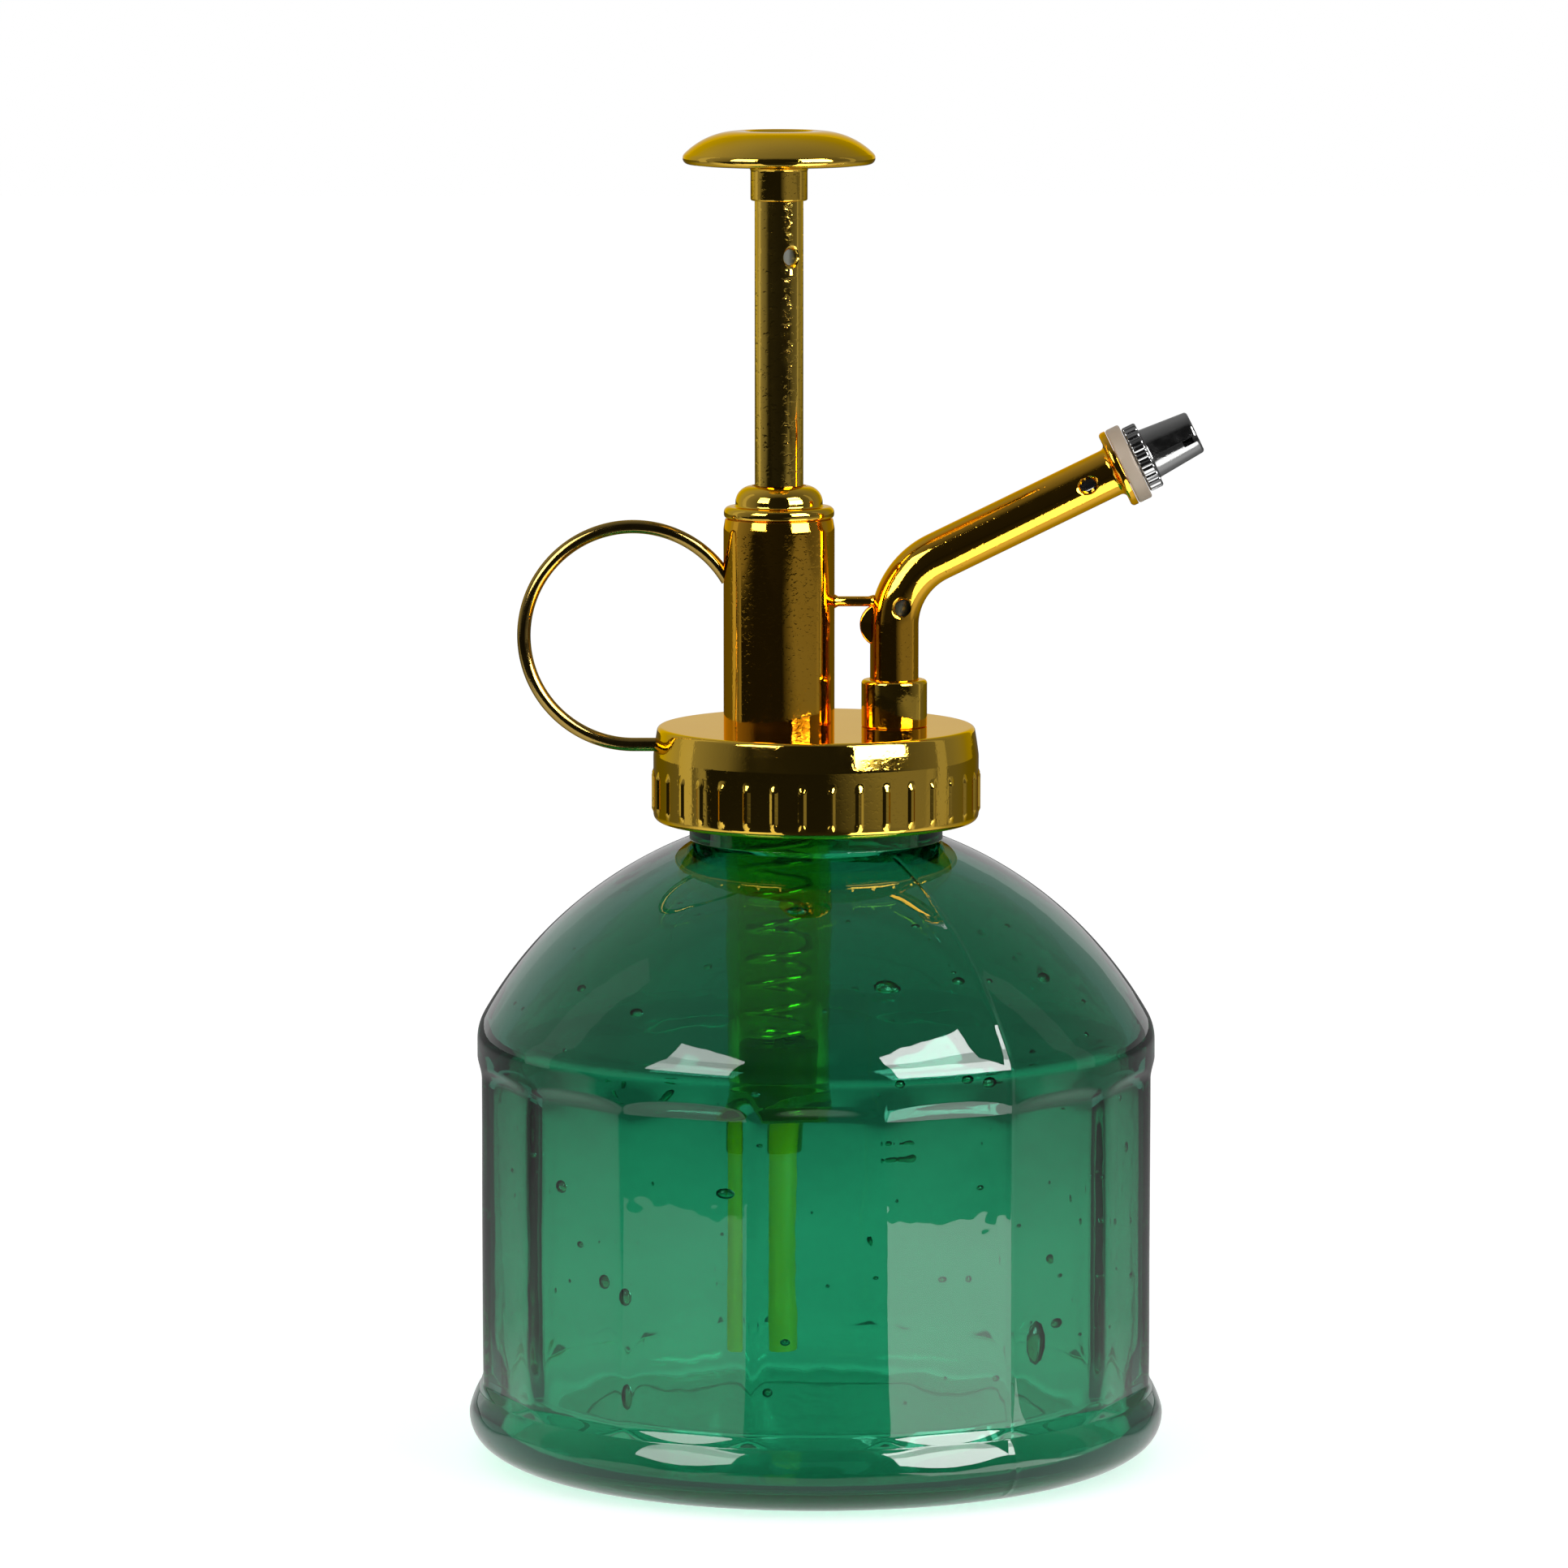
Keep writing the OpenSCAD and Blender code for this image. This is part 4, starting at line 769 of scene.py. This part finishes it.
stay_from, stay_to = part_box("spout_stay")[0].x / MM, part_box("spout_stay")[1].x / MM
stay = swept("stay", [(np.array((x, 0, STAY_Z)), np.array((1, 0, 0)), radius) for x, radius in (
    (stay_from, 0.8), (stay_from + 0.5, 0.85), (stay_from + 0.9, STAY_R), (stay_to - 0.9, STAY_R),
    (stay_to - 0.3, 0.8), (stay_to, 0.7))], deep_gold, columns=32)
stand_in(stay, "spout_stay", "head")


# Nozzle

def along_arm(piece):
    """Turns a piece made about the vertical axis onto the arm's axis."""
    turn = Vector((0, 0, 1)).rotation_difference(Vector(ARM)).to_matrix().to_4x4()
    return moved(piece, Matrix.Translation(Vector(CORNER) * MM) @ turn)


NOZZLE_BORE, NOZZLE_EASE = 2.3, 0.3
WASHER_LOW, WASHER_TOP, WASHER_R = 30.661, 32.461, 4.85
washer = along_arm(turned("washer", rounded((
    (NOZZLE_BORE, WASHER_LOW, 0), (WASHER_R, WASHER_LOW, NOZZLE_EASE), (WASHER_R, WASHER_TOP, NOZZLE_EASE),
    (NOZZLE_BORE, WASHER_TOP, 0)), 6), washer_tan, closed=True))
stand_in(washer, "nozzle_washer", "head")

NOZZLE_LOW, KNURL_H, KNURL_R, NOSE_LOW_R, NOSE_TOP_R, NOZZLE_TIP = 32.511, 1.8, 4.2, 3.15, 2.65, 40.511
GROOVES, GROOVE_R, GROOVE_SHARE = 26, 0.28, 0.6
# The spray hole, the wall round it, and the slot across the tip
SPRAY_R, SPRAY_DEEP, TIP_WALL = 0.25, 0.6, 0.8
SLOT_HALF, SLOT_REACH, SLOT_DEEP, SLOT_TURN = 0.4, 4, 2, math.radians(12)


def knurl(radius, height, turn):
    """Grooves round the nozzle's collar."""
    step = 2 * math.pi / GROOVES
    across = ((turn + step / 2) % step - step / 2) * radius
    groove = np.sqrt(np.clip(GROOVE_R ** 2 - across ** 2, 0, None))
    return -GROOVE_SHARE * groove * (radius > KNURL_R - 0.35)


nozzle = turned("nozzle_cap", dense(rounded((
    (NOZZLE_BORE, NOZZLE_LOW, 0), (KNURL_R, NOZZLE_LOW, NOZZLE_EASE),
    (KNURL_R, NOZZLE_LOW + KNURL_H, NOZZLE_EASE), (NOSE_LOW_R, NOZZLE_LOW + KNURL_H, 0.2),
    (NOSE_TOP_R, NOZZLE_TIP, 0.4), (SPRAY_R, NOZZLE_TIP, 0.05),
    (SPRAY_R, NOZZLE_TIP - SPRAY_DEEP, 0), (NOZZLE_BORE, NOZZLE_TIP - TIP_WALL, 0)), 8), 0.5),
    chrome, columns=GROOVES * 12, shift=knurl, closed=True, sharp=30)
slot_corners = [(x, y, z) for x in (-SLOT_HALF, SLOT_HALF) for y in (-SLOT_REACH, SLOT_REACH)
                for z in (NOZZLE_TIP - SLOT_DEEP, NOZZLE_TIP + 1)]
slot_faces = [(0, 1, 3, 2), (4, 6, 7, 5), (0, 4, 5, 1), (2, 3, 7, 6), (0, 2, 6, 4), (1, 5, 7, 3)]
slot_box = mesh_piece("slot", slot_corners, slot_faces, chrome)
moved(slot_box, Matrix.Rotation(SLOT_TURN, 4, "Z"))
cut(nozzle, slot_box, 30)
along_arm(nozzle)
stand_in(nozzle, "nozzle", "nozzle")


# Pump parts seen through the glass

BARREL_R, BARREL_TOP_R, BARREL_BORE, BARREL_FOOT, BARREL_FLOOR = 6.2, 5.9, 4.9, 42.95, 44.95
# The barrel gets thinner between these two heights, where it enters the head
BARREL_NECK, BARREL_TOP = (81.6, 81.7), 109.05
SPIGOT_R, SPIGOT_BORE, SPIGOT_LOW, INLET_R = 2.69, 2.09, 37.45, 1.5
DIP_R, DIP_BORE, DIP_LOW, DIP_TOP = 2.05, 1.4, 12.4, 42.9
BLOCK_R, BLOCK_LOW, BLOCK_HOLE = 12.1, 80.6, 5.5
BLOCK_FLANGE_R, BLOCK_FLANGE_LOW, BLOCK_TOP = 16.65, 85.6, 87.6

barrel_tube = turned("barrel_tube", rounded((
    (SPIGOT_BORE, SPIGOT_LOW, 0), (SPIGOT_R, SPIGOT_LOW, 0.1), (SPIGOT_R, BARREL_FOOT, 0.2),
    (BARREL_R, BARREL_FOOT, 0.6), (BARREL_R, BARREL_NECK[0], 0), (BARREL_TOP_R, BARREL_NECK[1], 0),
    (BARREL_TOP_R, BARREL_TOP, 0.15), (BARREL_BORE, BARREL_TOP, 0), (BARREL_BORE, BARREL_FLOOR, 0.3),
    (INLET_R, BARREL_FLOOR, 0), (INLET_R, BARREL_FOOT, 0), (SPIGOT_BORE, DIP_TOP, 0)), 6, True),
    amber_plastic, PUMP_X, columns=96, closed=True)
head_block = turned("head_block", rounded((
    (0, BLOCK_LOW, 0), (BLOCK_R, BLOCK_LOW, 0.5), (BLOCK_R, BLOCK_FLANGE_LOW, 0),
    (BLOCK_FLANGE_R, BLOCK_FLANGE_LOW, 0), (BLOCK_FLANGE_R, BLOCK_TOP, 0), (0, BLOCK_TOP, 0))), dark_plastic_and_shade)
bore(head_block, PUMP_X, BLOCK_HOLE, 80, 88)
stand_in(barrel_tube, "pump_barrel", "head")
stand_in(head_block, "pump_barrel", "head")

dip = turned("dip", rounded((
    (DIP_BORE, DIP_LOW, 0), (DIP_R, DIP_LOW, 0.15), (DIP_R, DIP_TOP, 0), (DIP_BORE, DIP_TOP, 0)), 4),
    straw_plastic, PUMP_X, columns=64, closed=True)
stand_in(dip, "dip_tube", "head")

SPRING_LOW, SPRING_TOP, COIL_R, WIRE_R, COILS, END_TURNS, END_PITCH = 50.6, 103.25, 3.7, 0.45, 15, 0.75, 0.95


def make_spring():
    """A coil spring with closed ends, as one tube along its helix."""
    end_rise = END_TURNS * END_PITCH
    rise = SPRING_TOP - SPRING_LOW - 2 * WIRE_R - 2 * end_rise
    turns = COILS + 2 * END_TURNS
    steps, columns = int(turns * 40), 12
    wound = np.linspace(0, turns, steps + 1)
    height = SPRING_LOW + WIRE_R + np.interp(
        wound, (0, END_TURNS, END_TURNS + COILS, turns), (0, end_rise, end_rise + rise, 2 * end_rise + rise))
    angle = 2 * math.pi * wound
    points = []
    for a, z in zip(angle, height):
        out = np.array((math.cos(a), math.sin(a), 0))
        for turn in all_round(columns):
            points.append(np.array((PUMP_X, 0, z)) + out * (COIL_R + WIRE_R * math.cos(turn))
                          + np.array((0, 0, WIRE_R * math.sin(turn))))
    faces = ring_faces(steps + 1, columns)
    faces += [tuple(range(columns)), tuple(range(steps * columns, (steps + 1) * columns))]
    return mesh_piece("spring", points, faces, steel, 60)


spring = make_spring()
stand_in(spring, "return_spring", "head")
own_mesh(spring)


# Studio

def glow(name, colour, strength):
    material, tree = look(name)
    shader = add(tree, "ShaderNodeEmission", {"Color": (*colour, 1), "Strength": strength})
    output(tree, shader.outputs["Emission"])
    return material


def only_mirrored(thing, through_glass=False):
    """Leaves a studio surface to reflections, and to those that are seen through glass."""
    for ray in ("camera", "diffuse", "volume_scatter", "shadow"):
        setattr(thing, "visible_" + ray, False)
    thing.visible_transmission = through_glass


def surface(name, corners, faces, material):
    mesh = bpy.data.meshes.new(name)
    mesh.from_pydata(corners, [], faces)
    mesh.materials.append(material)
    thing = bpy.data.objects.new(name, mesh)
    scene.collection.objects.link(thing)
    return thing


# Rays with fewer passes than this through a surface went through a wall's edge only
WALL_PASSES = 2.5


def wall_only(tree):
    """One for rays that went through a glass wall's edge and not through the bottle's inside."""
    path = add(tree, "ShaderNodeLightPath").outputs
    depth = path["Transmission Depth"]
    few = add(tree, "ShaderNodeMath", {0: depth, 1: WALL_PASSES}, operation="LESS_THAN").outputs[0]
    return times(tree, path["Is Transmission Ray"], few)


# Levels of the table top: from and to in metres, then the level at either where it is fixed
WALL_FADE, WALL_FAR, WALL_LEVEL = (0.045, 0.09, 0, 1), 0.1, 0.15
TABLE_FADE = (0.15, 0.36, 1.0, 0.26)
UNDER_DEPTH, UNDER_EDGE = (-0.028, -0.004, 0.55, 1.6), (0.037, 0.046)
MIRROR_FADE = (0.12, 0.5, 0.8, 0.25)
FRONT_SIDE, FRONT_EDGE, BACK_FADE = (0.1, 0.55, 0.02, 0.8), (-0.09, -0.07), (0, 0.06, 1, 0.5)
TABLE_LIFT, TABLE_LOW = 0.55, -0.0003
TABLE_CORNERS = ((-1.2, -1.2), (1.2, -1.2), (1.2, 3), (-1.2, 3))


def make_floor():
    """A white table top that keeps the object's shadow.

    Glass shows it fading with its distance, and mirrors show its front part dark.
    """
    material, tree = look("table")
    path = add(tree, "ShaderNodeLightPath").outputs
    place = add(tree, "ShaderNodeTexCoord").outputs["Object"]
    away = add(tree, "ShaderNodeVectorMath", {0: place}, operation="LENGTH").outputs["Value"]
    axes = add(tree, "ShaderNodeSeparateXYZ", {"Vector": place}).outputs
    depth = axes["Y"]
    # Seen through only a glass wall's edge, the table is painted dark: a painted shadow under the foot,
    # darker still farther off.
    dim = times(tree, wall_only(tree), spread(tree, away, *WALL_FADE))
    under = spread(tree, wall_only(tree), 0, 1, 1, WALL_LEVEL)
    level = times(tree, under, spread(tree, dim, 0, 1, 1, WALL_FAR))
    level = times(tree, level, spread(tree, away, *TABLE_FADE))
    # Under the foot the table is painted brighter at the back and darker at the front: painted light and
    # shade for the base as seen through the glass.
    near = spread(tree, depth, *UNDER_DEPTH)
    level = times(tree, level, spread(tree, away, *UNDER_EDGE, near, 1.0))
    level = times(tree, level, path["Is Transmission Ray"])
    front = spread(tree, axes["X"], *FRONT_SIDE)
    front = spread(tree, depth, *FRONT_EDGE, front, 1)
    mirrored = times(tree, spread(tree, away, *MIRROR_FADE), front)
    mirrored = times(tree, mirrored, spread(tree, depth, *BACK_FADE))
    mirror_ray = add(tree, "ShaderNodeMath", {0: path["Is Glossy Ray"], 1: path["Is Transmission Ray"]},
                     operation="SUBTRACT", use_clamp=True).outputs[0]
    for ray, share in ((mirror_ray, mirrored), (path["Is Camera Ray"], TABLE_LIFT)):
        level = add(tree, "ShaderNodeMath", {0: ray, 1: share, 2: level}, operation="MULTIPLY_ADD").outputs[0]
    dark = add(tree, "ShaderNodeMath", {0: path["Is Glossy Ray"], 1: path["Is Transmission Ray"]},
               operation="MAXIMUM").outputs[0]
    cloth = add(tree, "ShaderNodeBsdfDiffuse", {
        "Color": two_tone(tree, dark, (0.8, 0.8, 0.8), (0.01, 0.01, 0.01))})
    lift = add(tree, "ShaderNodeEmission", {"Strength": level})
    both = add(tree, "ShaderNodeAddShader", {0: cloth.outputs["BSDF"], 1: lift.outputs["Emission"]})
    output(tree, both.outputs["Shader"])
    surface("floor", [(x, y, TABLE_LOW) for x, y in TABLE_CORNERS], [(0, 1, 2, 3)], material)


# Levels of the room from front to back (share of the way, level), and its right side's share
ROOM_LEVELS, ROOM_RIGHT = ((0.18, 0.018), (0.30, 0.15), (0.56, 0.27), (0.84, 0.45), (0.93, 0.6)), 0.6


def make_room():
    """The dim side of the room, behind the camera, as metal and glass mirror it."""
    radius, rows, columns, edge = 3.0, 24, 32, math.radians(150)
    corners, faces = [(0, -radius, 0)], []
    for i in range(1, rows + 1):
        tilt = edge * i / rows
        for turn in all_round(columns):
            corners.append((radius * math.sin(tilt) * math.cos(turn), -radius * math.cos(tilt),
                            radius * math.sin(tilt) * math.sin(turn)))
    faces += [(0, 1 + j, 1 + (j + 1) % columns) for j in range(columns)]
    for i in range(rows - 1):
        here, there = 1 + i * columns, 1 + (i + 1) * columns
        for j in range(columns):
            k = (j + 1) % columns
            faces.append((here + j, there + j, there + k, here + k))
    material, tree = look("room_wall")
    place = add(tree, "ShaderNodeTexCoord").outputs["Object"]
    axes = add(tree, "ShaderNodeSeparateXYZ", {"Vector": place}).outputs
    ramp = add(tree, "ShaderNodeValToRGB", {"Fac": spread(tree, axes["Y"], -radius, radius, 0, 1)})
    for spot, level in ROOM_LEVELS:
        stop = ramp.color_ramp.elements.new(spot)
        stop.color = (level, level, level, 1)
    ramp.color_ramp.elements.remove(ramp.color_ramp.elements[0])
    ramp.color_ramp.elements.remove(ramp.color_ramp.elements[-1])
    side = spread(tree, axes["X"], -radius / 2, radius / 2, 1.0, ROOM_RIGHT)
    shader = add(tree, "ShaderNodeEmission", {"Color": ramp.outputs["Color"], "Strength": side})
    output(tree, shader.outputs["Emission"])
    only_mirrored(surface("room", corners, faces, material))


def make_card(name, from_turn, to_turn, low, high, distance, strength, through_glass):
    """An upright lit face, standing at angles from the front towards +X, in degrees."""
    corners = []
    for turn, z in ((from_turn, low), (to_turn, low), (to_turn, high), (from_turn, high)):
        a = math.radians(turn)
        corners.append((distance * math.sin(a), -distance * math.cos(a), z))
    light = glow(name + "_light", (1, 1, 1), strength)
    only_mirrored(surface(name, corners, [(0, 1, 2, 3)], light), through_glass)


def make_patch(name, from_turn, to_turn, near, far, strength):
    """The lit part of the table in front of a soft box, between two angles and two distances."""
    corners = []
    for turn, distance in ((from_turn, near), (to_turn, near), (to_turn, far), (from_turn, far)):
        a = math.radians(turn)
        corners.append((distance * math.sin(a), -distance * math.cos(a), 0.0005))
    only_mirrored(surface(name, corners, [(0, 1, 2, 3)], glow(name + "_light", (1, 1, 1), strength)))


def make_lamp(name, turn, height, distance, size, power):
    """A lamp's light on matt surfaces, from the same place as a soft box."""
    light = bpy.data.lights.new(name, "AREA")
    light.size = size
    light.energy = power
    lamp = bpy.data.objects.new(name, light)
    a = math.radians(turn)
    lamp.location = (distance * math.sin(a), -distance * math.cos(a), height)
    lamp.rotation_euler = (Vector((0, 0, 0.08)) - lamp.location).to_track_quat("-Z", "Y").to_euler()
    lamp.visible_glossy = False
    lamp.visible_transmission = False
    scene.collection.objects.link(lamp)


def make_world():
    """White to the camera, paler in mirrors, dim through glass, and a plain level where it lights."""
    world = bpy.data.worlds.new("white")
    world.use_nodes = True
    tree = world.node_tree
    tree.nodes.clear()
    path = add(tree, "ShaderNodeLightPath").outputs
    level = 0.6
    for ray, seen in (("Is Glossy Ray", 0.7), ("Is Transmission Ray", 0.25), ("Is Camera Ray", 1.0)):
        level = spread(tree, path[ray], 0, 1, level, seen)
    shade = add(tree, "ShaderNodeBackground", {"Color": (1, 1, 1, 1), "Strength": level})
    add(tree, "ShaderNodeOutputWorld", {"Surface": shade.outputs["Background"]})
    scene.world = world


BOX_AWAY, STRIP_AWAY, STRIP_HIGH = 0.5, 0.45, 0.6

make_floor()
make_room()
for name, turns, low, high, strength in (
    ("box_right_low", (27, 66), 0.155, 0.36, 15.0), ("box_right_middle", (27, 66), 0.36, 0.5, 7.0),
    ("box_right_high", (27, 66), 0.5, 0.62, 15.0), ("box_left_low", (-60, -29), 0.21, 0.36, 8.0),
    ("box_left_middle", (-60, -29), 0.36, 0.5, 5.5), ("box_left_high", (-60, -29), 0.5, 0.58, 8.0),
):
    make_card(name, *turns, low, high, BOX_AWAY, strength, True)
for name, turns, strength in (("strip_right", (94, 104), 0.35), ("strip_left", (-112, -97), 0.5)):
    make_card(name, *turns, 0, STRIP_HIGH, STRIP_AWAY, strength, False)
make_patch("table_right", 24, 66, 0.06, 0.25, 3.2)
make_patch("table_left", -62, -24, 0.06, 0.25, 0.95)
make_lamp("lamp_right", 45, 0.3, 0.6, 0.35, 1.0)
make_lamp("lamp_left", -45, 0.3, 0.6, 0.35, 0.8)
make_world()


# Camera

# Camera's place and aim in metres, and its lens and film in millimetres
CAMERA_AT, CAMERA_AIM, LENS, FILM = (-0.0039, -1.0, 0.205), (-0.0039, 0, 0.0823), 190, 36


def make_camera():
    lens = bpy.data.cameras.new("camera")
    lens.sensor_width = FILM
    lens.lens = LENS
    camera = bpy.data.objects.new("camera", lens)
    camera.location = CAMERA_AT
    camera.rotation_euler = (Vector(CAMERA_AIM) - camera.location).to_track_quat("-Z", "Y").to_euler()
    scene.collection.objects.link(camera)
    scene.camera = camera


make_camera()
scene.view_settings.view_transform = "Standard"
scene.cycles.max_bounces = 24
scene.cycles.transmission_bounces = 20
scene.cycles.glossy_bounces = 16
scene.cycles.transparent_max_bounces = 24
